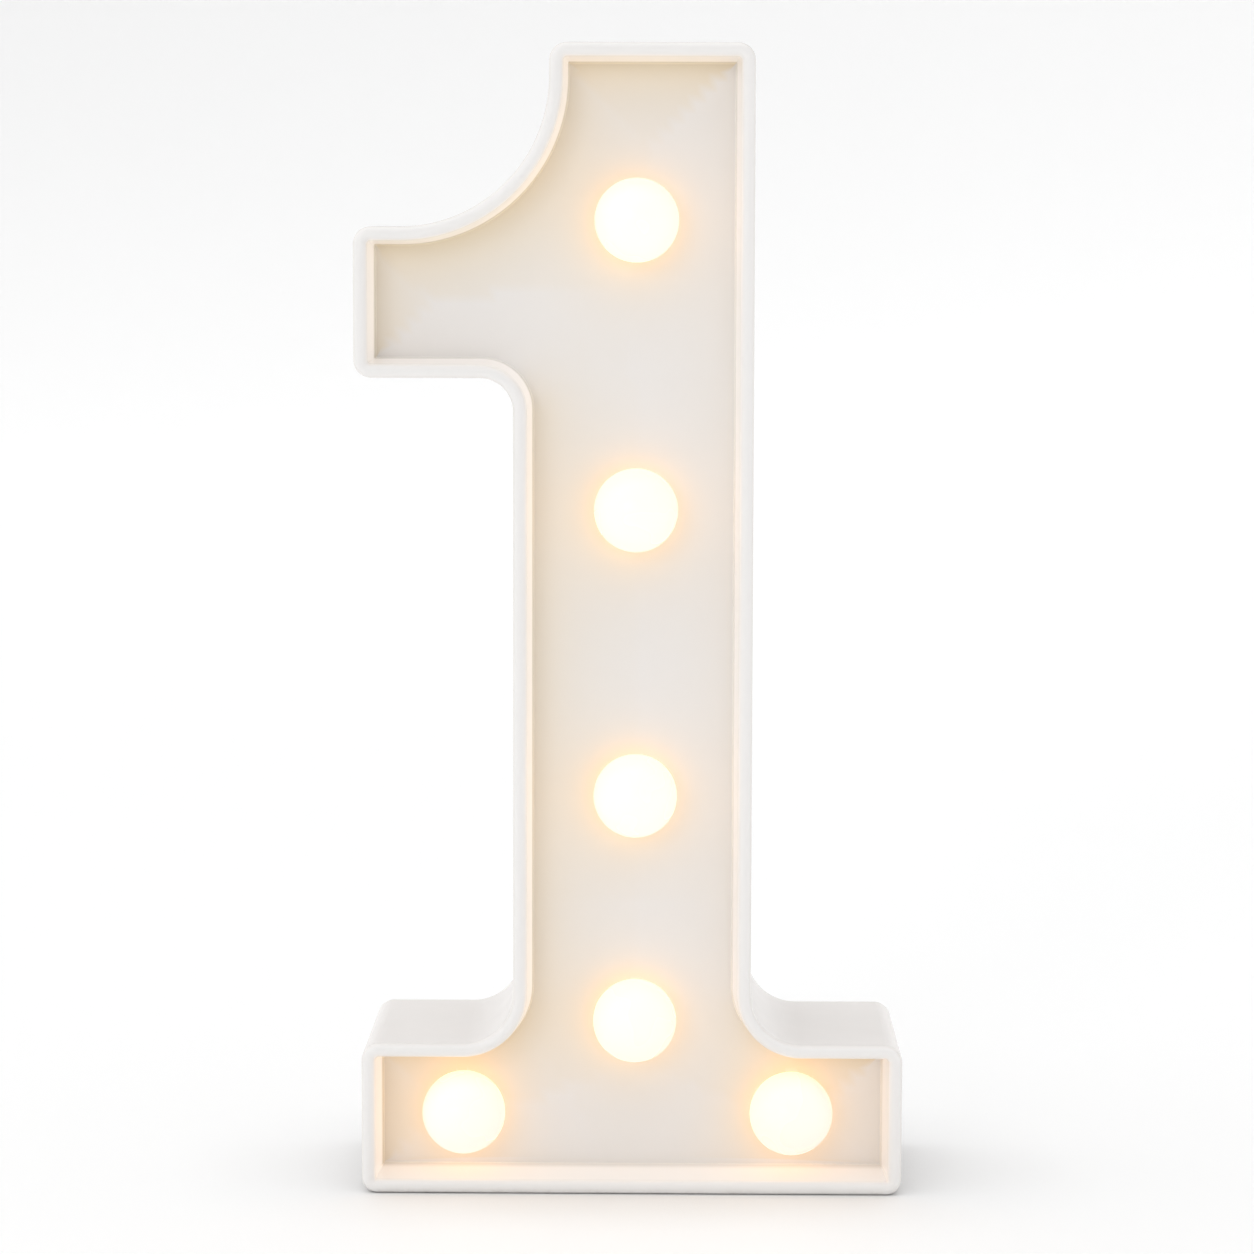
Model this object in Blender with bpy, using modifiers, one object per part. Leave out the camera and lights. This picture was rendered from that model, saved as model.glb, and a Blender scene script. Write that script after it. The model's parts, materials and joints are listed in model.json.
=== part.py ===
"""Light-up marquee number one: a white moulded channel number with six globe lamps, run from two AA cells.

Metres, +Z up. The open front faces -Y, +X is to the viewer's right, and the origin is the underside's middle.
The shell carries the lamps and the screw bosses, and the back cover carries the cells and the switch.
"""

import math

import bmesh
import bpy
from mathutils import Matrix, Vector
from mathutils.geometry import interpolate_bezier

# Outline of the number
HEIGHT = 0.2200
DEPTH = 0.0450
BASE_HALF_WIDTH = 0.0520
BASE_HEIGHT = 0.0292
STEM_HALF_WIDTH = 0.0228
TOP_REACH = 0.0160
FLAG_REACH = 0.0530
FLAG_DROP = 0.0345
FLAG_HEIGHT = 0.0285
CORNER_RADIUS = 0.0034
FOOT_RADIUS = 0.0030
BASE_FILLET = 0.0098
FLAG_FILLET = 0.0063
HOLLOW_RADIUS = 0.0282
LEAST_RADIUS = 0.00015
CORNER_STEPS = 4
FILLET_STEPS = 6
HOLLOW_STEPS = 12

# Walls of the shell
RIM_WIDTH = 0.0026
RECESS = 0.0110
RECESS_DRAFT = 0.0009
PANEL = 0.0020
REAR_WALL = 0.0020
BACK_CHAMFER = 0.0004
RIM_STEPS = 6

# Fits
GAP = 0.0003
OVERRUN = 0.0010
WELD = 0.000015
SMOOTH_ANGLE = math.radians(35)

# Globe lamps, from the top of the stem down, then the left and right of the base
GLOBE_RADIUS = 0.0080
GLOBE_WALL = 0.0010
NECK_RADIUS = 0.0052
NECK_WALL = 0.0008
NECK_TAIL = 0.0040
SNAP_HEIGHT = 0.0007
SNAP_LENGTH = 0.0010
STEM_LAMP_X = 0.0005
STEM_LAMP_HEIGHT_SHARES = (0.849, 0.599, 0.3495, 0.1505)
BASE_LAMP_WIDTH_SHARES = (-0.625, 0.592)
BASE_LAMP_HEIGHT_SHARE = 0.514
GLOBE_STEPS = 16
GLOBE_RINGS = 8

# Lamp holder and the lamp in it
PLUG_LENGTH = 0.0045
HOLDER_RADIUS = 0.0065
HOLDER_FLANGE = 0.0012
LED_RADIUS = 0.0025
LED_LENGTH = 0.0086
LED_FLANGE_RADIUS = 0.0029
LED_FLANGE = 0.0010
LED_LEAD_SPACING = 0.00254
LED_LEAD_WIDTH = 0.0005
LED_LEAD_LENGTH = 0.0044
LED_STEPS = 10
LED_DOME_STEPS = 3

# Back cover and its screws
COVER_THICKNESS = 0.0020
SCREW_RADIUS = 0.00145
SCREW_LENGTH = 0.0120
SCREW_TIP = 0.0020
SCREW_HEAD_RADIUS = 0.0027
SCREW_HEAD_HEIGHT = 0.0019
SCREW_CROWN_SHARE = 0.55
SCREW_TOP_SHARES = (0.60, 0.94)
SCREW_CROSS_REACH_SHARE = 0.58
SCREW_CROSS_WIDTH = 0.0006
SCREW_CROSS_DEPTH = 0.0011
CUP_WALL = 0.0009
CUP_FLOOR = 0.0016
HEAD_SINK = 0.0004
BOSS_RADIUS = 0.0028
SCREW_EDGE = 0.0080
SCREW_STEPS = 12

# Battery box, about two AA cells side by side
CELL_RADIUS = 0.0071
CELL_LENGTH = 0.0502
CELL_NUB_RADIUS = 0.0026
CELL_NUB_HEIGHT = 0.0014
CELL_EDGE = 0.0006
CELL_SPACE = 0.0006
CELL_STEPS = 20
SPRING_SPACE = 0.0051
CONTACT_SHEET = 0.0004
CONTACT_WIDTH = 0.0100
CONTACT_HEIGHT = 0.0090
CONTACT_TAB_WIDTH = 0.0025
CONTACT_TAB_TAIL = 0.0024
SPRING_WIRE_RADIUS = 0.00035
SPRING_FOOT_RADIUS = 0.0040
SPRING_TOP_RADIUS = 0.0026
SPRING_TURNS = 4
SPRING_POINTS_PER_TURN = 9
TUB_WALL = 0.0014
TUB_HEIGHT_SHARE = 0.55

# Battery door, its well, toes and tongue
DOOR_THICKNESS = 0.0018
LEDGE = 0.0024
TOE_LEDGE = 0.0030
LATCH_BAY = 0.0048
WELL_WALL = 0.0014
WELL_FLOOR = 0.0016
HINGE_DEPTH = 0.0004
TOE_WIDTH = 0.0060
TOE_THICKNESS = 0.0011
TOE_LENGTH = 0.0016
TOE_ROOT = 0.0011
TOE_SPACING_SHARE = 0.56
TOE_SWING = 0.0007
TONGUE_WIDTH = 0.0080
TONGUE_SHEET = 0.0009
TONGUE_DEPTH = 0.0056
TONGUE_SINK = 0.0003
TONGUE_PAD = 0.0018

# Slide switch
SWITCH_HEIGHT_SHARE = 0.25
SWITCH_TRAVEL = 0.0030
KNOB_WIDTH = 0.0030
KNOB_SINK = 0.0003
KNOB_RIDGE = 0.0003
KNOB_RIDGE_SHARES = (-0.8, 0.0, 0.8)
KNOB_RIDGE_HALF_WIDTH_SHARE = 0.10
SLIDER_LENGTH = 0.0052
SLIDER_WIDTH = 0.0044
SLIDER_THICKNESS = 0.0016
SWITCH_SHEET = 0.0005
SWITCH_CASE_DEPTH = 0.0044
SWITCH_BOARD = 0.0012
SWITCH_EAR_REACH = 0.0095
SWITCH_EAR_WIDTH = 0.0052
SWITCH_SCREW_REACH = 0.0076
SWITCH_PAD = 0.0012
SWITCH_PAD_MARGIN = 0.0010
SWITCH_DISH_MARGIN = 0.0030
SWITCH_DISH_DEPTH = 0.0010
TERMINAL_SPACING = 0.0025
TERMINAL_WIDTH = 0.0012
TERMINAL_SHEET = 0.0004
TERMINAL_LENGTH = 0.0034
SMALL_SCREW_RADIUS = 0.0009
SMALL_SCREW_HEAD_RADIUS = 0.0017
SMALL_SCREW_HEAD_HEIGHT = 0.0012
SMALL_SCREW_LENGTH = 0.0029
SMALL_SCREW_TIP = 0.0006

# Keyhole for a wall screw
KEYHOLE_RADIUS = 0.0046
KEYHOLE_SLOT_WIDTH = 0.0048
KEYHOLE_SLOT_LENGTH = 0.0085
KEYHOLE_DROP = 0.0230
KEYHOLE_STEPS = 24

# Wires and the resistor
WIRE_RADIUS = 0.0005
WIRE_LEAD = 0.0030
WIRE_BOW = 0.0030
WIRE_STEPS = 2
WIRE_UPRIGHT_SHARE = 0.84
WIRE_SIDE_SHARE = 0.50
RESISTOR_RADIUS = 0.0012
RESISTOR_LENGTH = 0.0063
RESISTOR_LEAD_RADIUS = 0.0003
RESISTOR_LEAD_LENGTH = 0.0022
RESISTOR_X = 0.0066
RESISTOR_DROP = 0.0150

# Places worked out from the sizes above
FRONT = -DEPTH / 2
BACK = DEPTH / 2
PANEL_FRONT = FRONT + RECESS
PANEL_BACK = PANEL_FRONT + PANEL
FLAG_TOP = HEIGHT - FLAG_DROP
FLAG_BOTTOM = FLAG_TOP - FLAG_HEIGHT
COVER_FRONT = BACK - COVER_THICKNESS
COVER_INSET = REAR_WALL + GAP

LAMP_PLACES = tuple((STEM_LAMP_X, share * HEIGHT) for share in STEM_LAMP_HEIGHT_SHARES) + tuple(
    (share * BASE_HALF_WIDTH, BASE_LAMP_HEIGHT_SHARE * BASE_HEIGHT) for share in BASE_LAMP_WIDTH_SHARES
)
LED_BACK = -(PANEL + NECK_TAIL + GAP + HOLDER_FLANGE + GAP + LED_FLANGE)
LEAD_TIP = PANEL_FRONT - LED_BACK + LED_LEAD_LENGTH

HEAD_SEAT = BACK - HEAD_SINK - SCREW_HEAD_HEIGHT
CUP_RADIUS = SCREW_HEAD_RADIUS + GAP + CUP_WALL
CUP_BACK = HEAD_SEAT - GAP
CUP_FRONT = CUP_BACK - CUP_FLOOR
BOSS_TOP = CUP_FRONT - GAP

CELL_X = CELL_RADIUS + CELL_SPACE / 2
TUB_HALF_WIDTH = CELL_X + CELL_RADIUS + GAP
TUB_LENGTH = CELL_LENGTH + SPRING_SPACE + 2 * (CONTACT_SHEET + GAP) + GAP
TUB_LOW = TUB_HEIGHT_SHARE * HEIGHT - TUB_LENGTH / 2
TUB_HIGH = TUB_LOW + TUB_LENGTH
DOOR_FRONT = BACK - DOOR_THICKNESS
WELL_BACK = DOOR_FRONT - GAP
WELL_FRONT = WELL_BACK - WELL_FLOOR
WELL_HALF_WIDTH = TUB_HALF_WIDTH + LEDGE
WELL_LOW = TUB_LOW - LEDGE - LATCH_BAY
WELL_HIGH = TUB_HIGH + TOE_LEDGE
CELL_Y = WELL_BACK - GAP - CELL_RADIUS
TUB_BACK = CELL_Y - CELL_RADIUS - GAP
TUB_FRONT = TUB_BACK - TUB_WALL
DOOR_LOW = WELL_LOW + GAP
DOOR_HIGH = WELL_HIGH - GAP
HINGE = Vector((0.0, BACK - HINGE_DEPTH, DOOR_HIGH))
TOE_X = TOE_SPACING_SHARE * WELL_HALF_WIDTH
TOE_BACK = COVER_FRONT - GAP
TOE_FRONT = TOE_BACK - TOE_THICKNESS

SWITCH_Z = SWITCH_HEIGHT_SHARE * HEIGHT
SWITCH_BACK = COVER_FRONT - SWITCH_PAD - GAP
SWITCH_FRONT = SWITCH_BACK - SWITCH_CASE_DEPTH
SLIDER_BACK = SWITCH_BACK - SWITCH_SHEET - GAP
SLIDER_FRONT = SLIDER_BACK - SLIDER_THICKNESS
CASE_HALF_LENGTH = (SLIDER_LENGTH + SWITCH_TRAVEL) / 2 + 2 * GAP + SWITCH_SHEET
CASE_HALF_WIDTH = SLIDER_WIDTH / 2 + 2 * GAP + SWITCH_SHEET
SLOT_HALF_LENGTH = (KNOB_WIDTH + SWITCH_TRAVEL) / 2 + GAP
SLOT_HALF_WIDTH = KNOB_WIDTH / 2 + GAP
TERMINAL_TIP = SWITCH_FRONT + GAP - TERMINAL_LENGTH
SWITCH_ON_X = SWITCH_TRAVEL / 2

CONTACT_TOP = TUB_HIGH - GAP
CONTACT_BOTTOM = TUB_LOW + GAP
TAB_TIP = TUB_FRONT - CONTACT_TAB_TAIL

PARTS = bpy.data.collections.new("marquee_number_one")
CUTTERS = bpy.data.collections.new("cutters")


def clear_scene():
    for obj in list(bpy.data.objects):
        bpy.data.objects.remove(obj, do_unlink=True)
    bpy.context.scene.collection.children.link(PARTS)
    bpy.context.scene.collection.children.link(CUTTERS)


def finish(name, colour, roughness, metallic=0.0):
    """A Principled BSDF material of one colour."""
    made = bpy.data.materials.new(name)
    made.use_nodes = True
    shader = made.node_tree.nodes["Principled BSDF"]
    shader.inputs["Base Color"].default_value = (*colour, 1.0)
    shader.inputs["Roughness"].default_value = roughness
    shader.inputs["Metallic"].default_value = metallic
    return made


def part(name, data, material):
    """An object of the finished number."""
    obj = bpy.data.objects.new(name, data)
    PARTS.objects.link(obj)
    if not data.materials:
        data.materials.append(material)
    return obj


def helper(name, data):
    """An operand of a Boolean, kept out of the finished number."""
    obj = bpy.data.objects.new(name, data)
    CUTTERS.objects.link(obj)
    obj.hide_render = True
    obj.display_type = "WIRE"
    return obj


def mesh_of(name, bm):
    data = bpy.data.meshes.new(name)
    bmesh.ops.recalc_face_normals(bm, faces=bm.faces)
    bm.to_mesh(data)
    bm.free()
    return data


def boxes(name, spans):
    """A mesh of one box for each pair of opposite corners."""
    bm = bmesh.new()
    for low, high in spans:
        low, high = Vector(low), Vector(high)
        fit = Matrix.Translation((low + high) / 2) @ Matrix.Diagonal((*(high - low), 1.0))
        bmesh.ops.create_cube(bm, size=1.0, matrix=fit)
    return mesh_of(name, bm)


def rounds(name, places, radius, start, end, steps):
    """A mesh of one cylinder along Y for each x, z place."""
    bm = bmesh.new()
    for x, z in places:
        stand = Matrix.Translation((x, (start + end) / 2, z)) @ Matrix.Rotation(math.pi / 2, 4, "X")
        bmesh.ops.create_cone(
            bm, cap_ends=True, segments=steps, radius1=radius, radius2=radius, depth=end - start, matrix=stand
        )
    return mesh_of(name, bm)


def combine(obj, operation, operand):
    step = obj.modifiers.new(operand.name, "BOOLEAN")
    step.operation = operation
    step.solver = "EXACT"
    step.object = operand


def add(obj, name, data):
    combine(obj, "UNION", helper(name, data))


def cut(obj, name, data):
    combine(obj, "DIFFERENCE", helper(name, data))


def smooth(data):
    data.shade_smooth()
    data.set_sharp_from_angle(angle=SMOOTH_ANGLE)


def finished_mesh(obj, name):
    """An object's evaluated mesh, with its loose caps welded. The object and its operands are removed."""
    bpy.context.view_layer.update()
    evaluated = obj.evaluated_get(bpy.context.evaluated_depsgraph_get())
    data = bpy.data.meshes.new_from_object(evaluated)
    data.name = name
    bm = bmesh.new()
    bm.from_mesh(data)
    bmesh.ops.remove_doubles(bm, verts=bm.verts, dist=WELD)
    bm.to_mesh(data)
    bm.free()
    operands = [step.object for step in obj.modifiers if step.type == "BOOLEAN"]
    for used in (obj, *operands):
        bpy.data.objects.remove(used, do_unlink=True)
    return data


def turned(name, profile, steps, closed=False):
    """A helper turned about its own Z. The profile lists radius, height and runs down its outer side."""
    data = bpy.data.meshes.new(name)
    count = len(profile)
    edges = [(i, i + 1) for i in range(count - 1)]
    if closed:
        edges.append((count - 1, 0))
    data.from_pydata([(radius, 0.0, height) for radius, height in profile], edges, [])
    obj = helper(name, data)
    spin = obj.modifiers.new("turn", "SCREW")
    spin.axis = "Z"
    spin.steps = steps
    spin.render_steps = steps
    spin.use_merge_vertices = True
    spin.merge_threshold = WELD
    return obj


def arc(centre, radius, start, end, steps):
    """Points radius, height on an arc. Angles are in radians from straight up, turning outwards."""
    angles = [start + (end - start) * i / steps for i in range(steps + 1)]
    return [(radius * math.sin(a), centre + radius * math.cos(a)) for a in angles]


def corners():
    """The corners, anticlockwise from the lower left: x, z, radius, +1 if convex, and steps of the arc."""
    hollow = min(HOLLOW_RADIUS, FLAG_DROP - CORNER_RADIUS, FLAG_REACH - TOP_REACH - CORNER_RADIUS)
    return (
        (-BASE_HALF_WIDTH, 0.0, FOOT_RADIUS, 1, CORNER_STEPS),
        (BASE_HALF_WIDTH, 0.0, FOOT_RADIUS, 1, CORNER_STEPS),
        (BASE_HALF_WIDTH, BASE_HEIGHT, CORNER_RADIUS, 1, CORNER_STEPS),
        (STEM_HALF_WIDTH, BASE_HEIGHT, BASE_FILLET, -1, FILLET_STEPS),
        (STEM_HALF_WIDTH, HEIGHT, CORNER_RADIUS, 1, CORNER_STEPS),
        (-TOP_REACH, HEIGHT, CORNER_RADIUS, 1, CORNER_STEPS),
        (-TOP_REACH, FLAG_TOP, hollow, -1, HOLLOW_STEPS),
        (-FLAG_REACH, FLAG_TOP, CORNER_RADIUS, 1, CORNER_STEPS),
        (-FLAG_REACH, FLAG_BOTTOM, CORNER_RADIUS, 1, CORNER_STEPS),
        (-STEM_HALF_WIDTH, FLAG_BOTTOM, FLAG_FILLET, -1, FILLET_STEPS),
        (-STEM_HALF_WIDTH, BASE_HEIGHT, BASE_FILLET, -1, FILLET_STEPS),
        (-BASE_HALF_WIDTH, BASE_HEIGHT, CORNER_RADIUS, 1, CORNER_STEPS),
    )


def outline(inset):
    """Points x, z of the number's outline, moved inwards by inset. Every inset gives as many points."""
    table = corners()
    points = []
    for i, (x, z, radius, turn, steps) in enumerate(table):
        before = Vector((x - table[i - 1][0], z - table[i - 1][1])).normalized()
        after = Vector((table[(i + 1) % len(table)][0] - x, table[(i + 1) % len(table)][1] - z)).normalized()
        inward = Vector((-before.y, before.x))
        corner = Vector((x, z)) + inset * (inward + Vector((-after.y, after.x)))
        radius = max(radius - turn * inset, LEAST_RADIUS)
        centre = corner - radius * before + turn * radius * inward
        for step in range(steps + 1):
            angle = math.pi / 2 * step / steps
            points.append(centre + radius * (math.sin(angle) * before - turn * math.cos(angle) * inward))
    return points


def carried_round(name, profile):
    """A closed mesh: a profile of inset, y carried round the outline, with flat faces on its end rings."""
    bm = bmesh.new()
    rings = [[bm.verts.new((point.x, y, point.y)) for point in outline(inset)] for inset, y in profile]
    for ring, following in zip(rings, rings[1:]):
        for i in range(len(ring)):
            j = (i + 1) % len(ring)
            bm.faces.new((ring[i], ring[j], following[j], following[i]))
    bm.faces.new(rings[0])
    bm.faces.new(rings[-1])
    return mesh_of(name, bm)


def screw_places():
    """The x, z of the eight cover screws."""
    edge = REAR_WALL + GAP + CUP_RADIUS + GAP
    return (
        (STEM_HALF_WIDTH - SCREW_EDGE, HEIGHT - SCREW_EDGE),
        (SCREW_EDGE - TOP_REACH, HEIGHT - SCREW_EDGE),
        (SCREW_EDGE - FLAG_REACH, FLAG_TOP - FLAG_HEIGHT / 2),
        (STEM_HALF_WIDTH - edge, WELL_HIGH + WELL_WALL + SCREW_EDGE),
        (edge - STEM_HALF_WIDTH, WELL_LOW - WELL_WALL - CUP_RADIUS),
        (STEM_HALF_WIDTH - edge, WELL_LOW - WELL_WALL - CUP_RADIUS),
        (SCREW_EDGE - BASE_HALF_WIDTH, BASE_HEIGHT / 2),
        (BASE_HALF_WIDTH - SCREW_EDGE, BASE_HEIGHT / 2),
    )


def front_shell(material):
    bead = RIM_WIDTH / 2
    rim = []
    for step in range(RIM_STEPS + 1):
        angle = math.pi * step / RIM_STEPS
        rim.append((bead + bead * math.cos(angle), FRONT + bead - bead * math.sin(angle)))
    profile = [
        (RIM_WIDTH + RECESS_DRAFT, PANEL_FRONT),
        *rim,
        (0.0, BACK - BACK_CHAMFER),
        (BACK_CHAMFER, BACK),
        (REAR_WALL, BACK),
        (REAR_WALL, PANEL_BACK),
    ]
    shell = part("front_shell", carried_round("front_shell", profile), material)
    start = PANEL_BACK - OVERRUN
    places = screw_places()
    add(shell, "shell_bosses", rounds("shell_bosses", places, BOSS_RADIUS, start, BOSS_TOP, SCREW_STEPS))
    pilot = SCREW_RADIUS + GAP
    deep = HEAD_SEAT - SCREW_LENGTH - GAP
    cut(shell, "pilot_holes", rounds("pilot_holes", places, pilot, deep, BOSS_TOP + OVERRUN, SCREW_STEPS))
    neck = NECK_RADIUS + GAP
    through = (PANEL_FRONT - OVERRUN, PANEL_BACK + OVERRUN)
    cut(shell, "neck_holes", rounds("neck_holes", LAMP_PLACES, neck, *through, GLOBE_STEPS))
    return shell


def plate(name, inset, start, end):
    """A flat plate of the number's outline between two values of y."""
    curve = bpy.data.curves.new(name, "CURVE")
    curve.dimensions = "2D"
    curve.fill_mode = "BOTH"
    curve.extrude = (end - start) / 2
    points = outline(inset)
    spline = curve.splines.new("POLY")
    spline.points.add(len(points) - 1)
    for spot, point in zip(spline.points, points):
        spot.co = (point.x, point.y, 0.0, 1.0)
    spline.use_cyclic_u = True
    flat = helper(name, curve)
    data = finished_mesh(flat, name)
    data.transform(Matrix.Translation((0.0, (start + end) / 2, 0.0)) @ Matrix.Rotation(math.pi / 2, 4, "X"))
    return data


def back_cover(material):
    cover = part("back_cover", plate("back_cover", COVER_INSET, COVER_FRONT, BACK), material)
    inside = COVER_FRONT + OVERRUN
    well = WELL_HALF_WIDTH + WELL_WALL
    tub = TUB_HALF_WIDTH + TUB_WALL
    add(cover, "well_block", boxes("well_block", [
        ((-well, WELL_FRONT, WELL_LOW - WELL_WALL), (well, inside, WELL_HIGH + WELL_WALL)),
    ]))
    add(cover, "tub_block", boxes("tub_block", [
        ((-tub, TUB_FRONT, TUB_LOW - TUB_WALL), (tub, WELL_FRONT + OVERRUN, TUB_HIGH + TUB_WALL)),
    ]))
    add(cover, "screw_cups", rounds("screw_cups", screw_places(), CUP_RADIUS, CUP_FRONT, inside, SCREW_STEPS))
    pad_x = SWITCH_EAR_REACH + SWITCH_PAD_MARGIN
    pad_z = SWITCH_EAR_WIDTH / 2 + SWITCH_PAD_MARGIN
    add(cover, "switch_pad", boxes("switch_pad", [
        ((-pad_x, COVER_FRONT - SWITCH_PAD, SWITCH_Z - pad_z), (pad_x, inside, SWITCH_Z + pad_z)),
    ]))
    cut_battery_box(cover)
    cut_screw_holes(cover)
    cut_switch_slot(cover)
    cut_keyhole(cover)
    return cover


def cut_battery_box(cover):
    out = BACK + OVERRUN
    cut(cover, "door_well", boxes("door_well", [
        ((-WELL_HALF_WIDTH, WELL_BACK, WELL_LOW), (WELL_HALF_WIDTH, out, WELL_HIGH)),
    ]))
    cut(cover, "cell_space", boxes("cell_space", [
        ((-TUB_HALF_WIDTH, TUB_BACK, TUB_LOW), (TUB_HALF_WIDTH, out, TUB_HIGH)),
    ]))
    toe = TOE_WIDTH / 2 + GAP
    toe_top = DOOR_HIGH + TOE_LENGTH + GAP
    cut(cover, "toe_pockets", boxes("toe_pockets", [
        ((x - toe, TOE_FRONT - TOE_SWING, TUB_HIGH - OVERRUN), (x + toe, COVER_FRONT, toe_top))
        for x in (-TOE_X, TOE_X)
    ]))
    tongue = TONGUE_WIDTH / 2 + GAP
    cut(cover, "tongue_bay", boxes("tongue_bay", [
        ((-tongue, WELL_FRONT - OVERRUN, WELL_LOW), (tongue, out, WELL_LOW + LATCH_BAY)),
    ]))
    tab = CONTACT_TAB_WIDTH / 2 + GAP
    under = CONTACT_TOP - CONTACT_SHEET - GAP
    cut(cover, "tab_slots", boxes("tab_slots", [
        ((x - tab, TUB_FRONT - OVERRUN, under), (x + tab, TUB_BACK + OVERRUN, TUB_HIGH))
        for x in (-CELL_X, CELL_X)
    ]))


def cut_screw_holes(cover):
    bore = SCREW_HEAD_RADIUS + GAP
    hole = SCREW_RADIUS + GAP
    out = BACK + OVERRUN
    places = screw_places()
    cut(cover, "head_bores", rounds("head_bores", places, bore, CUP_BACK, out, SCREW_STEPS))
    cut(cover, "shank_holes", rounds("shank_holes", places, hole, CUP_FRONT - OVERRUN, out, SCREW_STEPS))


def cut_switch_slot(cover):
    dish_x = SLOT_HALF_LENGTH + SWITCH_DISH_MARGIN
    dish_z = SLOT_HALF_WIDTH + SWITCH_DISH_MARGIN
    out = BACK + OVERRUN
    cut(cover, "switch_dish", boxes("switch_dish", [
        ((-dish_x, BACK - SWITCH_DISH_DEPTH, SWITCH_Z - dish_z), (dish_x, out, SWITCH_Z + dish_z)),
    ]))
    slot_front = COVER_FRONT - SWITCH_PAD - OVERRUN
    cut(cover, "knob_slot", boxes("knob_slot", [
        ((-SLOT_HALF_LENGTH, slot_front, SWITCH_Z - SLOT_HALF_WIDTH),
         (SLOT_HALF_LENGTH, out, SWITCH_Z + SLOT_HALF_WIDTH)),
    ]))
    pilot = SMALL_SCREW_RADIUS + GAP
    deep = switch_screw_seat() + SMALL_SCREW_LENGTH + GAP
    places = switch_screw_places()
    cut(cover, "switch_pilots", rounds("switch_pilots", places, pilot, slot_front, deep, SCREW_STEPS))


def cut_keyhole(cover):
    z = HEIGHT - KEYHOLE_DROP
    out = BACK + OVERRUN
    slot = KEYHOLE_SLOT_WIDTH / 2
    through = (COVER_FRONT - OVERRUN, out)
    cut(cover, "keyhole_round", rounds("keyhole_round", [(0.0, z)], KEYHOLE_RADIUS, *through, KEYHOLE_STEPS))
    cut(cover, "keyhole_slot", boxes("keyhole_slot", [
        ((-slot, through[0], z), (slot, out, z + KEYHOLE_SLOT_LENGTH)),
    ]))
    top = (0.0, z + KEYHOLE_SLOT_LENGTH)
    cut(cover, "keyhole_end", rounds("keyhole_end", [top], slot, *through, KEYHOLE_STEPS))


def battery_door(material):
    """The lid, its two toes under the cover's edge at the top and a folded spring tongue at the bottom."""
    side = WELL_HALF_WIDTH - GAP
    data = boxes("battery_door", [((-side, DOOR_FRONT, DOOR_LOW), (side, BACK, DOOR_HIGH))])
    data.transform(Matrix.Translation(-HINGE))
    door = part("battery_door", data, material)
    door.location = HINGE
    toe = TOE_WIDTH / 2
    root = DOOR_HIGH - TOE_ROOT
    add(door, "toe_roots", boxes("toe_roots", [
        ((x - toe, TOE_FRONT, root), (x + toe, DOOR_FRONT + OVERRUN, DOOR_HIGH)) for x in (-TOE_X, TOE_X)
    ]))
    add(door, "toes", boxes("toes", [
        ((x - toe, TOE_FRONT, root), (x + toe, TOE_BACK, DOOR_HIGH + TOE_LENGTH)) for x in (-TOE_X, TOE_X)
    ]))
    half = TONGUE_WIDTH / 2
    low = DOOR_LOW + TONGUE_SINK
    high = WELL_LOW + LATCH_BAY - 2 * GAP
    deep = DOOR_FRONT - TONGUE_DEPTH
    notch = half + GAP
    notch_high = high - TONGUE_SHEET - GAP
    cut(door, "tongue_notch", boxes("tongue_notch", [
        ((-notch, DOOR_FRONT - OVERRUN, DOOR_LOW - OVERRUN), (notch, BACK + OVERRUN, notch_high)),
    ]))
    add(door, "tongue_fixed_leg", boxes("tongue_fixed_leg", [
        ((-half, deep, high - TONGUE_SHEET), (half, DOOR_FRONT + OVERRUN, high)),
    ]))
    add(door, "tongue_fold", boxes("tongue_fold", [
        ((-half, deep - TONGUE_SHEET, low), (half, deep + TONGUE_SHEET / 2, high)),
    ]))
    add(door, "tongue_free_leg", boxes("tongue_free_leg", [
        ((-half, deep, low), (half, BACK - TONGUE_SINK, low + TONGUE_SHEET)),
    ]))
    add(door, "tongue_pad", boxes("tongue_pad", [
        ((-half, BACK - TONGUE_SINK - TONGUE_SHEET, low), (half, BACK - TONGUE_SINK, low + TONGUE_PAD)),
    ]))
    return door


def screw_mesh(name, head, head_height, shank, length, tip, cross_width, cross_depth):
    """A pan-head screw with a cross recess. Its seat is at height zero, and it points down."""
    across, up = SCREW_TOP_SHARES
    profile = [
        (0.0, head_height),
        (head * across, head_height * up),
        (head, head_height * SCREW_CROWN_SHARE),
        (head, 0.0),
        (shank, 0.0),
        (shank, tip - length),
        (0.0, -length),
    ]
    screw = turned(name, profile, SCREW_STEPS)
    reach = head * SCREW_CROSS_REACH_SHARE
    half = cross_width / 2
    floor = head_height - cross_depth
    above = head_height + OVERRUN
    cut(screw, name + "_slot", boxes(name + "_slot", [((-reach, -half, floor), (reach, half, above))]))
    cut(screw, name + "_cross", boxes(name + "_cross", [((-half, -reach, floor), (half, reach, above))]))
    data = finished_mesh(screw, name)
    smooth(data)
    return data


def cover_screws(material):
    data = screw_mesh(
        "cover_screw", SCREW_HEAD_RADIUS, SCREW_HEAD_HEIGHT, SCREW_RADIUS, SCREW_LENGTH, SCREW_TIP,
        SCREW_CROSS_WIDTH, SCREW_CROSS_DEPTH,
    )
    for number, (x, z) in enumerate(screw_places(), 1):
        screw = part(f"cover_screw_{number}", data, material)
        screw.location = (x, HEAD_SEAT, z)
        screw.rotation_euler = (-math.pi / 2, 0.0, 0.0)


def switch_screw_places():
    return ((-SWITCH_SCREW_REACH, SWITCH_Z), (SWITCH_SCREW_REACH, SWITCH_Z))


def switch_screw_seat():
    """Where the switch screws' heads sit, in front of the switch's ears."""
    return SWITCH_BACK - SWITCH_SHEET - GAP


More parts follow.
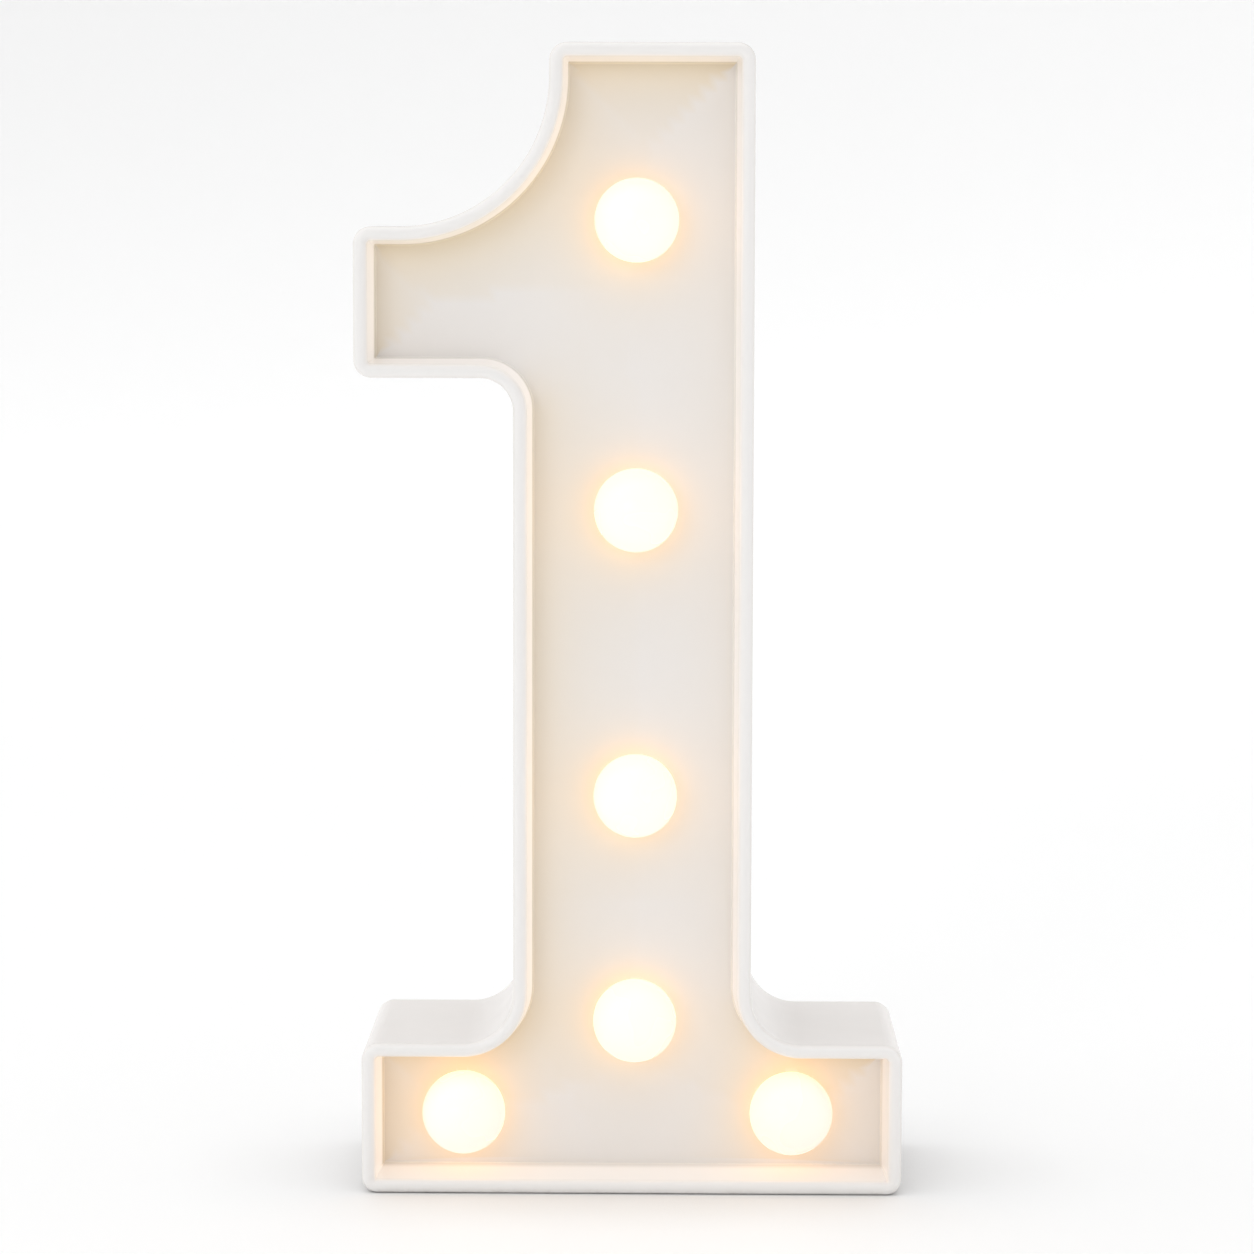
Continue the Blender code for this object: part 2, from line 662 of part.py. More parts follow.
def switch_screws(material):
    data = screw_mesh(
        "switch_screw", SMALL_SCREW_HEAD_RADIUS, SMALL_SCREW_HEAD_HEIGHT, SMALL_SCREW_RADIUS,
        SMALL_SCREW_LENGTH, SMALL_SCREW_TIP, SCREW_CROSS_WIDTH, SMALL_SCREW_HEAD_HEIGHT / 2,
    )
    for number, (x, z) in enumerate(switch_screw_places(), 1):
        screw = part(f"switch_screw_{number}", data, material)
        screw.location = (x, switch_screw_seat(), z)
        screw.rotation_euler = (math.pi / 2, 0.0, 0.0)


def stand_lamp_piece(obj, place):
    """Turns a piece's own +Z to the front. Its height zero is the front face of the recessed panel."""
    obj.location = (place[0], PANEL_FRONT, place[1])
    obj.rotation_euler = (math.pi / 2, 0.0, 0.0)


def globe_mesh():
    """A hollow milky globe that sits on the panel, with a neck and a snap ring behind the panel."""
    seat = NECK_RADIUS + GAP
    centre = GAP + math.sqrt(GLOBE_RADIUS**2 - seat**2)
    inner = GLOBE_RADIUS - GLOBE_WALL
    bore = NECK_RADIUS - NECK_WALL
    tail = -(PANEL + NECK_TAIL)
    snap = -(PANEL + GAP)
    outer_end = math.pi - math.asin(NECK_RADIUS / GLOBE_RADIUS)
    inner_end = math.pi - math.asin(bore / inner)
    profile = arc(centre, GLOBE_RADIUS, 0.0, outer_end, GLOBE_RINGS)
    profile += [
        (NECK_RADIUS, snap),
        (NECK_RADIUS + SNAP_HEIGHT, snap),
        (NECK_RADIUS, snap - SNAP_LENGTH),
        (NECK_RADIUS, tail),
        (bore, tail),
    ]
    profile += reversed(arc(centre, inner, 0.0, inner_end, GLOBE_RINGS - 2))
    data = finished_mesh(turned("globe", profile, GLOBE_STEPS), "globe")
    smooth(data)
    return data


def holder_mesh():
    """A flanged plug that fills the globe's neck from behind and grips the lamp in its bore."""
    plug = NECK_RADIUS - NECK_WALL - GAP
    bore = LED_RADIUS + GAP
    front = -(PANEL + NECK_TAIL) + PLUG_LENGTH
    flange = -(PANEL + NECK_TAIL + GAP)
    profile = [
        (bore, front),
        (plug, front),
        (plug, flange),
        (HOLDER_RADIUS, flange),
        (HOLDER_RADIUS, flange - HOLDER_FLANGE),
        (bore, flange - HOLDER_FLANGE),
    ]
    data = finished_mesh(turned("led_holder", profile, SCREW_STEPS, closed=True), "led_holder")
    smooth(data)
    return data


def led_mesh():
    """A round lamp with its flange behind the holder and two leads, the longer side of each across X."""
    tip = LED_BACK + LED_LENGTH
    profile = arc(tip - LED_RADIUS, LED_RADIUS, 0.0, math.pi / 2, LED_DOME_STEPS)
    profile += [
        (LED_RADIUS, LED_BACK + LED_FLANGE),
        (LED_FLANGE_RADIUS, LED_BACK + LED_FLANGE),
        (LED_FLANGE_RADIUS, LED_BACK),
        (0.0, LED_BACK),
    ]
    lamp = turned("led", profile, LED_STEPS)
    half = LED_LEAD_WIDTH / 2
    add(lamp, "led_leads", boxes("led_leads", [
        ((x - half, -half, LED_BACK - LED_LEAD_LENGTH), (x + half, half, LED_BACK + LED_FLANGE / 2))
        for x in (-LED_LEAD_SPACING / 2, LED_LEAD_SPACING / 2)
    ]))
    data = finished_mesh(lamp, "led")
    smooth(data)
    return data


def lamps(milky, holder, clear):
    for piece, data, material in (
        ("globe", globe_mesh(), milky),
        ("led_holder", holder_mesh(), holder),
        ("led", led_mesh(), clear),
    ):
        for number, place in enumerate(LAMP_PLACES, 1):
            stand_lamp_piece(part(f"{piece}_{number}", data, material), place)


def cell_mesh():
    """An AA cell with its flat end at height zero and its nub up."""
    shoulder = CELL_LENGTH - CELL_NUB_HEIGHT
    profile = [
        (0.0, CELL_LENGTH),
        (CELL_NUB_RADIUS, CELL_LENGTH),
        (CELL_NUB_RADIUS, shoulder),
        (CELL_RADIUS - CELL_EDGE, shoulder),
        (CELL_RADIUS, shoulder - CELL_EDGE),
        (CELL_RADIUS, CELL_EDGE),
        (CELL_RADIUS - CELL_EDGE, 0.0),
        (0.0, 0.0),
    ]
    data = finished_mesh(turned("cell", profile, CELL_STEPS), "cell")
    smooth(data)
    return data


def batteries(material):
    """The left cell stands nub down and the right one nub up, each with its nub GAP from its contact."""
    data = cell_mesh()
    left = part("battery_1", data, material)
    left.location = (-CELL_X, CELL_Y, CONTACT_BOTTOM + CONTACT_SHEET + GAP + CELL_LENGTH)
    left.rotation_euler = (math.pi, 0.0, 0.0)
    right = part("battery_2", data, material)
    right.location = (CELL_X, CELL_Y, CONTACT_TOP - CONTACT_SHEET - GAP - CELL_LENGTH)


def spring_mesh(name):
    """A conical coil, foot at height zero. It prints the least gap between its turns."""
    length = SPRING_SPACE - GAP - SPRING_WIRE_RADIUS
    count = SPRING_TURNS * SPRING_POINTS_PER_TURN
    points = []
    for i in range(count + 1):
        share = i / count
        angle = 2 * math.pi * SPRING_TURNS * share
        radius = SPRING_FOOT_RADIUS + (SPRING_TOP_RADIUS - SPRING_FOOT_RADIUS) * share
        points.append(Vector((radius * math.cos(angle), radius * math.sin(angle), length * share)))
    turn = SPRING_POINTS_PER_TURN
    pitch = min((points[i + turn] - points[i]).length for i in range(count + 1 - turn))
    print(f"{name}: least gap between turns {(pitch - 2 * SPRING_WIRE_RADIUS) * 1000:.2f} mm")
    return finished_mesh(helper(name, tube_curve(name, points, SPRING_WIRE_RADIUS, 1)), name)


def tube_curve(name, points, radius, resolution):
    curve = bpy.data.curves.new(name, "CURVE")
    curve.dimensions = "3D"
    curve.bevel_depth = radius
    curve.bevel_resolution = resolution
    curve.use_fill_caps = True
    spline = curve.splines.new("POLY")
    spline.points.add(len(points) - 1)
    for spot, point in zip(spline.points, points):
        spot.co = (*point, 1.0)
    return curve


def contact(name, x_low, x_high, z_low, material):
    """A sheet-metal contact across the end of the cells."""
    front = CELL_Y - CONTACT_HEIGHT / 2
    back = CELL_Y + CONTACT_HEIGHT / 2
    spans = [((x_low, front, z_low), (x_high, back, z_low + CONTACT_SHEET))]
    return part(name, boxes(name, spans), material)


def add_spring(obj, x, foot, turned_over):
    """Joins a coil to a contact: its foot is in the sheet at height foot, and it rises or hangs from it."""
    data = spring_mesh(obj.name + "_spring")
    if turned_over:
        data.transform(Matrix.Rotation(math.pi, 4, "X"))
    data.transform(Matrix.Translation((x, CELL_Y, foot)))
    add(obj, obj.name + "_spring", data)


def add_tab(obj, x):
    """Joins a solder tab that runs through the floor of the battery box."""
    half = CONTACT_TAB_WIDTH / 2
    low = CONTACT_TOP - CONTACT_SHEET
    inner = CELL_Y - CONTACT_HEIGHT / 2 + OVERRUN
    name = obj.name + "_tab"
    add(obj, name, boxes(name, [((x - half, TAB_TIP, low), (x + half, inner, CONTACT_TOP))]))


def contacts(material):
    half = CONTACT_WIDTH / 2
    top = CONTACT_TOP - CONTACT_SHEET
    positive = contact("positive_contact", CELL_X - half, CELL_X + half, top, material)
    add_tab(positive, CELL_X)
    negative = contact("negative_contact", -CELL_X - half, half - CELL_X, top, material)
    add_tab(negative, -CELL_X)
    add_spring(negative, -CELL_X, top, True)
    series = contact("series_contact", -CELL_X - half, CELL_X + half, CONTACT_BOTTOM, material)
    add_spring(series, CELL_X, CONTACT_BOTTOM + CONTACT_SHEET, False)


def switch_frame(material):
    """The pressed metal case of the slide switch, open at the front, with an ear on each side."""
    top = SWITCH_BACK - SWITCH_SHEET
    ear = SWITCH_EAR_WIDTH / 2
    frame = part("switch_frame", boxes("switch_frame", [
        ((-SWITCH_EAR_REACH, top, SWITCH_Z - ear), (SWITCH_EAR_REACH, SWITCH_BACK, SWITCH_Z + ear)),
    ]), material)
    add(frame, "switch_case", boxes("switch_case", [
        ((-CASE_HALF_LENGTH, SWITCH_FRONT, SWITCH_Z - CASE_HALF_WIDTH),
         (CASE_HALF_LENGTH, SWITCH_BACK, SWITCH_Z + CASE_HALF_WIDTH)),
    ]))
    inner_x = CASE_HALF_LENGTH - SWITCH_SHEET
    inner_z = CASE_HALF_WIDTH - SWITCH_SHEET
    cut(frame, "switch_case_space", boxes("switch_case_space", [
        ((-inner_x, SWITCH_FRONT - OVERRUN, SWITCH_Z - inner_z), (inner_x, top, SWITCH_Z + inner_z)),
    ]))
    cut(frame, "switch_case_slot", boxes("switch_case_slot", [
        ((-SLOT_HALF_LENGTH, top - OVERRUN, SWITCH_Z - SLOT_HALF_WIDTH),
         (SLOT_HALF_LENGTH, SWITCH_BACK + OVERRUN, SWITCH_Z + SLOT_HALF_WIDTH)),
    ]))
    hole = SMALL_SCREW_RADIUS + GAP
    through = (top - OVERRUN, SWITCH_BACK + OVERRUN)
    cut(frame, "ear_holes", rounds("ear_holes", switch_screw_places(), hole, *through, SCREW_STEPS))


def switch_base(material):
    """The insulating board in the open front of the case, with its three terminals."""
    x = CASE_HALF_LENGTH - SWITCH_SHEET - GAP
    z = CASE_HALF_WIDTH - SWITCH_SHEET - GAP
    front = SWITCH_FRONT + GAP
    board = part("switch_base", boxes("switch_base", [
        ((-x, front, SWITCH_Z - z), (x, front + SWITCH_BOARD, SWITCH_Z + z)),
    ]), material)
    half = TERMINAL_WIDTH / 2
    sheet = TERMINAL_SHEET / 2
    add(board, "terminals", boxes("terminals", [
        ((x - half, TERMINAL_TIP, SWITCH_Z - sheet), (x + half, front + SWITCH_BOARD / 2, SWITCH_Z + sheet))
        for x in (-TERMINAL_SPACING, 0.0, TERMINAL_SPACING)
    ]))


def switch_knob(material):
    """The slider, with the knob in the cover's slot. Its origin is the middle of the slider, switched on."""
    middle = Vector((SWITCH_ON_X, (SLIDER_FRONT + SLIDER_BACK) / 2, SWITCH_Z))
    block = Vector((SLIDER_LENGTH / 2, SLIDER_THICKNESS / 2, SLIDER_WIDTH / 2))
    knob = part("switch_knob", boxes("switch_knob", [(-block, block)]), material)
    knob.location = middle
    half = KNOB_WIDTH / 2
    top = BACK - KNOB_SINK - KNOB_RIDGE
    add(knob, "knob_stem", boxes("knob_stem", [
        ((SWITCH_ON_X - half, middle.y, SWITCH_Z - half), (SWITCH_ON_X + half, top, SWITCH_Z + half)),
    ]))
    ridge = KNOB_WIDTH * KNOB_RIDGE_HALF_WIDTH_SHARE
    for number, share in enumerate(KNOB_RIDGE_SHARES, 1):
        x = SWITCH_ON_X + share * half
        add(knob, f"knob_ridge_{number}", boxes(f"knob_ridge_{number}", [
            ((x - ridge, top - KNOB_RIDGE, SWITCH_Z - half), (x + ridge, top + KNOB_RIDGE, SWITCH_Z + half)),
        ]))


def resistor(material):
    z = resistor_bottom()
    profile = [
        (0.0, RESISTOR_LENGTH + RESISTOR_LEAD_LENGTH),
        (RESISTOR_LEAD_RADIUS, RESISTOR_LENGTH + RESISTOR_LEAD_LENGTH),
        (RESISTOR_LEAD_RADIUS, RESISTOR_LENGTH),
        (RESISTOR_RADIUS, RESISTOR_LENGTH),
        (RESISTOR_RADIUS, 0.0),
        (RESISTOR_LEAD_RADIUS, 0.0),
        (RESISTOR_LEAD_RADIUS, -RESISTOR_LEAD_LENGTH),
        (0.0, -RESISTOR_LEAD_LENGTH),
    ]
    data = finished_mesh(turned("resistor", profile, LED_STEPS), "resistor")
    smooth(data)
    body = part("resistor", data, material)
    body.location = (RESISTOR_X, LEAD_TIP, z)


def resistor_bottom():
    return LAMP_PLACES[2][1] - RESISTOR_DROP


def smooth_route(points):
    """A curve through every point, whose slope at each is along the line between its neighbours."""
    points = [Vector(point) for point in points]
    ends = [points[0], *points, points[-1]]
    slopes = [(after - before).normalized() for before, after in zip(ends, ends[2:])]
    route = []
    for start, end, leave, arrive in zip(points, points[1:], slopes, slopes[1:]):
        third = (end - start).length / 3
        handles = (start + third * leave, end - third * arrive)
        route += interpolate_bezier(start, *handles, end, WIRE_STEPS + 1)[:-1]
    return [*route, points[-1]]


def wire(name, points, material):
    part(name, tube_curve(name, smooth_route(points), WIRE_RADIUS, 2), material)


def led_joint(number, side, along):
    """Where a wire meets a lamp's lead: side is +1 for the red lead, and along is the way out from it."""
    x, z = LAMP_PLACES[number - 1]
    share = WIRE_SIDE_SHARE if along.x else WIRE_UPRIGHT_SHARE
    y = PANEL_FRONT - LED_BACK + share * LED_LEAD_LENGTH
    lead = Vector((x + side * LED_LEAD_SPACING / 2, y, z))
    return lead + (LED_LEAD_WIDTH / 2 + GAP) * along


def joined_wire(name, start, leave, end, arrive, bow, material):
    """A wire that leaves start along leave and comes to end from the side arrive, bowed at its middle."""
    middle = (start + end) / 2 + bow
    wire(name, [start, start + WIRE_LEAD * leave, middle, end + WIRE_LEAD * arrive, end], material)


def lamp_wires(red, black):
    """The two wires from each lamp to the next: down the stem, then out to both ends of the base."""
    up = Vector((0.0, 0.0, 1.0))
    for side, colour, material in ((1, "red", red), (-1, "black", black)):
        out = Vector((side, 0.0, 0.0))
        for upper in (1, 2, 3):
            start = led_joint(upper, side, -up)
            end = led_joint(upper + 1, side, up)
            joined_wire(f"{colour}_wire_{upper}_{upper + 1}", start, -up, end, up, WIRE_BOW * out, material)
        near, far = (6, 5) if side > 0 else (5, 6)
        start = led_joint(4, side, out)
        end = led_joint(near, side, up)
        joined_wire(f"{colour}_wire_4_{near}", start, out, end, up, WIRE_BOW * up, material)
        start = led_joint(4, side, -up)
        end = led_joint(far, side, out)
        bow = Vector((0.0, 2 * side * WIRE_BOW, -WIRE_BOW))
        joined_wire(f"{colour}_wire_4_{far}", start, -up, end, out, bow, material)


def feed_wires(red, black):
    """The wires between the cells, the switch, the resistor and the lamps."""
    front = Vector((0.0, -1.0, 0.0))
    up = Vector((0.0, 0.0, 1.0))
    tab_z = CONTACT_TOP - CONTACT_SHEET / 2
    plus = Vector((CELL_X, TAB_TIP - GAP, tab_z))
    minus = Vector((-CELL_X, TAB_TIP - GAP, tab_z))
    live = Vector((TERMINAL_SPACING, TERMINAL_TIP - GAP, SWITCH_Z))
    switched = Vector((0.0, TERMINAL_TIP - GAP, SWITCH_Z))
    lane = Vector((STEM_HALF_WIDTH / 2, LEAD_TIP - WIRE_BOW, 0.0))
    wire("battery_to_switch_wire", [
        plus,
        plus + WIRE_LEAD * front / 2 - WIRE_RADIUS * up,
        lane + (TUB_HIGH - CELL_RADIUS) * up,
        lane + (TUB_LOW + TUB_HIGH) / 2 * up,
        lane + (TUB_LOW - CELL_RADIUS) * up,
        live + 2 * WIRE_LEAD * front + 4 * WIRE_LEAD * up + Vector((WIRE_LEAD, 0.0, 0.0)),
        live + WIRE_LEAD * front,
        live,
    ], red)
    low = Vector((RESISTOR_X, LEAD_TIP, resistor_bottom() - RESISTOR_LEAD_LENGTH - GAP))
    wire("switch_to_resistor_wire", [
        switched,
        switched + WIRE_LEAD * front,
        (switched + low) / 2 + WIRE_LEAD * front - WIRE_LEAD * up,
        low - WIRE_LEAD * up,
        low,
    ], red)
    high = Vector((RESISTOR_X, LEAD_TIP, resistor_bottom() + RESISTOR_LENGTH + RESISTOR_LEAD_LENGTH + GAP))
    side = Vector((1.0, 0.0, 0.0))
    anode = led_joint(3, 1, side)
    wire("resistor_to_led_wire", [high, high + WIRE_LEAD * up / 2, anode + WIRE_LEAD * side / 2, anode], red)
    cathode = led_joint(2, -1, -side)
    wire("battery_to_led_wire", [
        minus,
        minus + WIRE_LEAD * front / 2 - WIRE_RADIUS * up,
        (minus + cathode) / 2 - WIRE_LEAD * side + WIRE_LEAD * front / 2,
        cathode - WIRE_LEAD * side,
        cathode,
    ], black)


def main():
    clear_scene()
    white = finish("white_plastic", (0.86, 0.84, 0.81), 0.35)
    milky = finish("milky_globe", (1.0, 0.93, 0.80), 0.30)
    clear = finish("lamp_epoxy", (0.95, 0.88, 0.60), 0.15)
    holder = finish("holder_plastic", (0.80, 0.79, 0.76), 0.50)
    cell = finish("cell_wrap", (0.10, 0.12, 0.14), 0.35)
    steel = finish("plated_steel", (0.65, 0.65, 0.66), 0.30, 1.0)
    board = finish("switch_board", (0.20, 0.09, 0.04), 0.60)
    dark = finish("knob_plastic", (0.03, 0.03, 0.03), 0.45)
    ceramic = finish("resistor_coat", (0.62, 0.50, 0.34), 0.45)
    red = finish("red_insulation", (0.55, 0.02, 0.02), 0.40)
    black = finish("black_insulation", (0.02, 0.02, 0.02), 0.40)
    front_shell(white)
    back_cover(white)
    battery_door(white)
    lamps(milky, holder, clear)
    batteries(cell)
    contacts(steel)
    switch_frame(steel)
    switch_base(board)
    switch_knob(dark)
    switch_screws(steel)
    cover_screws(steel)
    resistor(ceramic)
    lamp_wires(red, black)
    feed_wires(red, black)


main()
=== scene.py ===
"""Light-up marquee number one, dressed for its picture.

Metres, +Z up. The open front faces -Y and the origin is the middle of the underside, as in the CAD frame.
A profile is a list of (inset or radius, height) pairs, carried round a loop or turned about an axis.
"""

import json
import math

import bmesh
import bpy
import numpy as np
from mathutils import Matrix, Vector
from mathutils.geometry import delaunay_2d_cdt


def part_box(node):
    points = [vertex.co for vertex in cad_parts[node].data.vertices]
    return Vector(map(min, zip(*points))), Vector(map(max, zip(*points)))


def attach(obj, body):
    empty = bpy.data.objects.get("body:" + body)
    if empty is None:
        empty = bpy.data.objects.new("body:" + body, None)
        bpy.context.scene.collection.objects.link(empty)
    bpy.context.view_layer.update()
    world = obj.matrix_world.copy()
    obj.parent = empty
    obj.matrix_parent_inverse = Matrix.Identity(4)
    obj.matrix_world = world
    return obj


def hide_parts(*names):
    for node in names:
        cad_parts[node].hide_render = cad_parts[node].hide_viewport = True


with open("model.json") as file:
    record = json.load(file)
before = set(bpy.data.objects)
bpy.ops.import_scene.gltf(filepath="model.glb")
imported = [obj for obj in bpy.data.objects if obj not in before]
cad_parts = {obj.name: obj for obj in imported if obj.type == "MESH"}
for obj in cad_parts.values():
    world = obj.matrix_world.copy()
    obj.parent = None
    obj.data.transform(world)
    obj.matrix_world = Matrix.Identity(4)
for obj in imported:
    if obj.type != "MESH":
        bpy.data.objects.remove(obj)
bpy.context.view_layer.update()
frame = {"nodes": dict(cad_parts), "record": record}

# Outline of the number
HEIGHT = 0.2200
FRONT = -0.0225
BACK = 0.0225
BASE_HALF_WIDTH = 0.0520
BASE_HEIGHT = 0.0292
STEM_HALF_WIDTH = 0.0228
TOP_REACH = 0.0160
FLAG_REACH = 0.0530
FLAG_TOP = 0.1855
FLAG_BOTTOM = 0.1570
CORNER_RADIUS = 0.0034
FOOT_RADIUS = 0.0030
BASE_FILLET = 0.0098
FLAG_FILLET = 0.0063
HOLLOW_RADIUS = 0.0282
LEAST_RADIUS = 0.00015
CORNER_STEPS = 12
FILLET_STEPS = 18
HOLLOW_STEPS = 40

# Walls of the shell
RIM_WIDTH = 0.0026
RIM_STEPS = 20
RECESS_DRAFT = 0.0009
PANEL_FRONT = -0.0115
PANEL_BACK = -0.0095
PANEL_FILLET = 0.0003
PANEL_PITCH = 0.0020
# Share of the painted shade that greys the panel's front face
PANEL_SHADE = 0.45
REAR_WALL = 0.0020
REAR_ROUND = 0.0004
GAP = 0.0003

# Globe lamps
LAMP_PLACES = (
    (0.0005, 0.18678), (0.0005, 0.13178), (0.0005, 0.07689), (0.0005, 0.03311),
    (-0.0325, 0.015009), (0.030784, 0.015009),
)
GLOBE_RADIUS = 0.0080
GLOBE_WALL = 0.0010
NECK_RADIUS = 0.0052
NECK_WALL = 0.0008
NECK_TAIL = 0.0040
SNAP_HEIGHT = 0.0007
SNAP_LENGTH = 0.0010
GLOBE_STEPS = 64
GLOBE_RINGS = 40

# Back cover
COVER_INSET = 0.0023
COVER_FRONT = 0.0205
EDGE_ROUND = 0.0003
OUTER_CORNER = 0.0016
OVERRUN = 0.001
WELL = (0.0172, 0.0853, 0.1525)
WELL_BACK = 0.0204
WELL_FRONT = 0.0188
WELL_WALL = 0.0014
WELL_CORNER = 0.0009
TUB = (0.0148, 0.0925, 0.1495)
TUB_BACK = 0.0056
TUB_FRONT = 0.0042
TUB_WALL = 0.0014
TUB_CORNER = 0.0012
LATCH_BAY = 0.0048
BAY_HALF_WIDTH = 0.0043
BAY_START = 0.0001
TOE_X = 0.009632
TOE_WIDTH = 0.0060
TOE_FRONT = 0.0191
TOE_SWING = 0.0007
TOE_LENGTH = 0.0016
TOE_CORNER = 0.0002
KEYHOLE_Z = 0.1970
KEYHOLE_RADIUS = 0.0046
KEYHOLE_SLOT = 0.0024
KEYHOLE_LENGTH = 0.0085

# Battery door
DOOR_ROUND = 0.00025
GRIP_LOW = 0.0936
GRIP_PITCH = 0.0017
GRIP_COUNT = 6
GRIP_HALF_WIDTH = 0.0062
GRIP_HALF_HEIGHT = 0.0002
GRIP_DEPTH = 0.00045
ARROW_TOP = 0.1094
ARROW_HALF_WIDTH = 0.0026
ARROW_LENGTH = 0.0036
ARROW_CORNER = 0.0003

# Screws
SCREW_PLACES = (
    (0.0148, 0.2120), (-0.0080, 0.2120), (-0.0450, 0.17125), (0.0163, 0.1619),
    (-0.0163, 0.0800), (0.0163, 0.0800), (-0.0440, 0.0146), (0.0440, 0.0146),
)
HEAD_SEAT = 0.0202
HEAD_RADIUS = 0.0027
HEAD_HEIGHT = 0.0019
SCREW_LENGTH = 0.0120
SCREW_RADIUS = 0.00145
CROSS_HALF_WIDTH = 0.00036
CROSS_REACH = 0.00165
CROSS_DEPTH = 0.0011
CROSS_HUB = 0.00055
THREAD_PITCH = 0.0012
THREAD_HEIGHT = 0.0002
CUP_RADIUS = 0.00395
CUP_BACK = 0.0199
CUP_FRONT = 0.0183
BOSS_RADIUS = 0.0028
BOSS_TOP = 0.0180
PILOT_RADIUS = 0.00175
PILOT_DEEP = 0.0079

# Slide switch
SWITCH_Z = 0.0550
SLOT_HALF = (0.0033, 0.0018)
SLOT_CORNER = 0.0003
DISH_MARGIN = 0.0030
DISH_DEPTH = 0.0010
KNOB_ROUND = 0.00008
FRAME_ROUND = 0.00012
PAD_HALF = (0.0105, 0.0036)
PAD_FRONT = 0.0193
WORDS = (("ON", 0.0100), ("OFF", -0.0110))
WORD_SIZE = 0.0036
WORD_HALF_DEPTH = 0.0005
WORD_SUNK = 0.00035

# Cells
CELL_RADIUS = 0.0071
CELL_LENGTH = 0.0502
CELL_X = 0.0074
CELL_Y = 0.0130
CELL_NUB = 0.0014
CELL_SHOULDER = 0.0012
CELL_BAND = 0.0115
CELL_WRAP = 0.00005

# Battery contacts
CONTACT_SHEET = 0.0004
CONTACT_EDGE = 0.00004
CONTACT_HALF_DEPTH = 0.0045
TAB_HALF_WIDTH = 0.00125
COIL_WIRE = 0.00035
COIL_FOOT = 0.0040
COIL_TOP = 0.0026
COIL_LENGTH = 0.00445
COIL_TURNS = 4

# Strength of the sky towards each side, then the front light's azimuth, elevation, strength and spread
SKY = (("Z", 1.0, 1.41), ("X", -1.0, 1.30), ("X", 1.0, 0.66), ("Y", -1.0, 0.24), ("Y", 1.0, 0.40))
FRONT_LIGHT = (-22.0, 15.0, 0.27, 16.0)

# Floor, darkened near the object by a painted contact shadow
FLOOR_REACH = 2.6
FLOOR_CURVE = 0.5
FLOOR_TOP = 0.8
FLOOR_PALE = (0.975, 0.975, 0.975)
FLOOR_PAINTED_SHADOW = (0.66, 0.66, 0.66)
FLOOR_CLOSE = 0.040

# Camera: place, then degrees of yaw, pitch and roll
CAMERA_PLACE = (0.00747, -0.77373, 0.18627)
CAMERA_TURN = (0.654, 5.801, 0.148)
CAMERA_FOCUS_PIXELS = 3978.0
PHOTO_PIXELS = 1254.0

# Painted lamp light and painted shade, as a warm tint: the way that a lamp's halo leans, then its reach and
# share, each with its change by lean
HALO_WAY = (-0.50, -0.87)
HALO_REACH = (0.0040, 0.0012)
HALO_SHARE = (0.74, 0.24)
WALL_REACH = 0.009
WALL_START = 0.0004
WALL_FULL = 0.0030
WALL_PAINTED_SHARE = 0.55

# Angle past which an edge is sharp, and the distance within which points are one
SHARP = math.radians(32)
WELD = 1e-6


def node_group(name, inputs, outputs):
    """An empty shader group with sockets of the given names, kinds and starting values."""
    group = bpy.data.node_groups.new(name, "ShaderNodeTree")
    for label, kind, value in inputs:
        socket = group.interface.new_socket(label, in_out="INPUT", socket_type="NodeSocket" + kind)
        socket.default_value = value
    for label, kind in outputs:
        group.interface.new_socket(label, in_out="OUTPUT", socket_type="NodeSocket" + kind)
    return group, group.nodes.new("NodeGroupInput").outputs, group.nodes.new("NodeGroupOutput").inputs


def give(tree, socket, value):
    """Feed a socket from another node's output, or set its value."""
    if isinstance(value, bpy.types.NodeSocket):
        tree.links.new(value, socket)
    elif value is not None:
        socket.default_value = value


def object_place(tree):
    """Object coordinates, which stay with the piece."""
    return tree.nodes.new("ShaderNodeTexCoord").outputs["Object"]


def split(tree, vector):
    """A vector's X, Y and Z, by name."""
    node = tree.nodes.new("ShaderNodeSeparateXYZ")
    tree.links.new(vector, node.inputs[0])
    return node.outputs


def noise(group, position, scale, detail, roughness=0.5):
    """Layered noise over a position."""
    node = group.nodes.new("ShaderNodeTexNoise")
    group.links.new(position, node.inputs["Vector"])
    give(group, node.inputs["Scale"], scale)
    node.inputs["Detail"].default_value = detail
    node.inputs["Roughness"].default_value = roughness
    return node.outputs["Fac"]


def math_node(group, operation, first, second):
    """One operation on two numbers or sockets."""
    node = group.nodes.new("ShaderNodeMath")
    node.operation = operation
    give(group, node.inputs[0], first)
    give(group, node.inputs[1], second)
    return node.outputs[0]


def mapped(group, value, low, high, new_low=0.0, new_high=1.0, kind="SMOOTHSTEP"):
    """A value carried from one range to another, eased at both ends unless kind says otherwise."""
    node = group.nodes.new("ShaderNodeMapRange")
    node.interpolation_type = kind
    for label, item in (
        ("Value", value), ("From Min", low), ("From Max", high), ("To Min", new_low), ("To Max", new_high)
    ):
        give(group, node.inputs[label], item)
    return node.outputs["Result"]


def mixed(group, share, first, second):
    """Two colours mixed by a share."""
    node = group.nodes.new("ShaderNodeMix")
    node.data_type = "RGBA"
    for index, item in ((0, share), (6, first), (7, second)):
        give(group, node.inputs[index], item)
    return node.outputs[2]


def bumped(group, height, strength, distance, normal=None):
    """A normal bent by the slope of a height, over another normal where one is given."""
    node = group.nodes.new("ShaderNodeBump")
    group.links.new(height, node.inputs["Height"])
    give(group, node.inputs["Strength"], strength)
    node.inputs["Distance"].default_value = distance
    give(group, node.inputs["Normal"], normal)
    return node.outputs["Normal"]


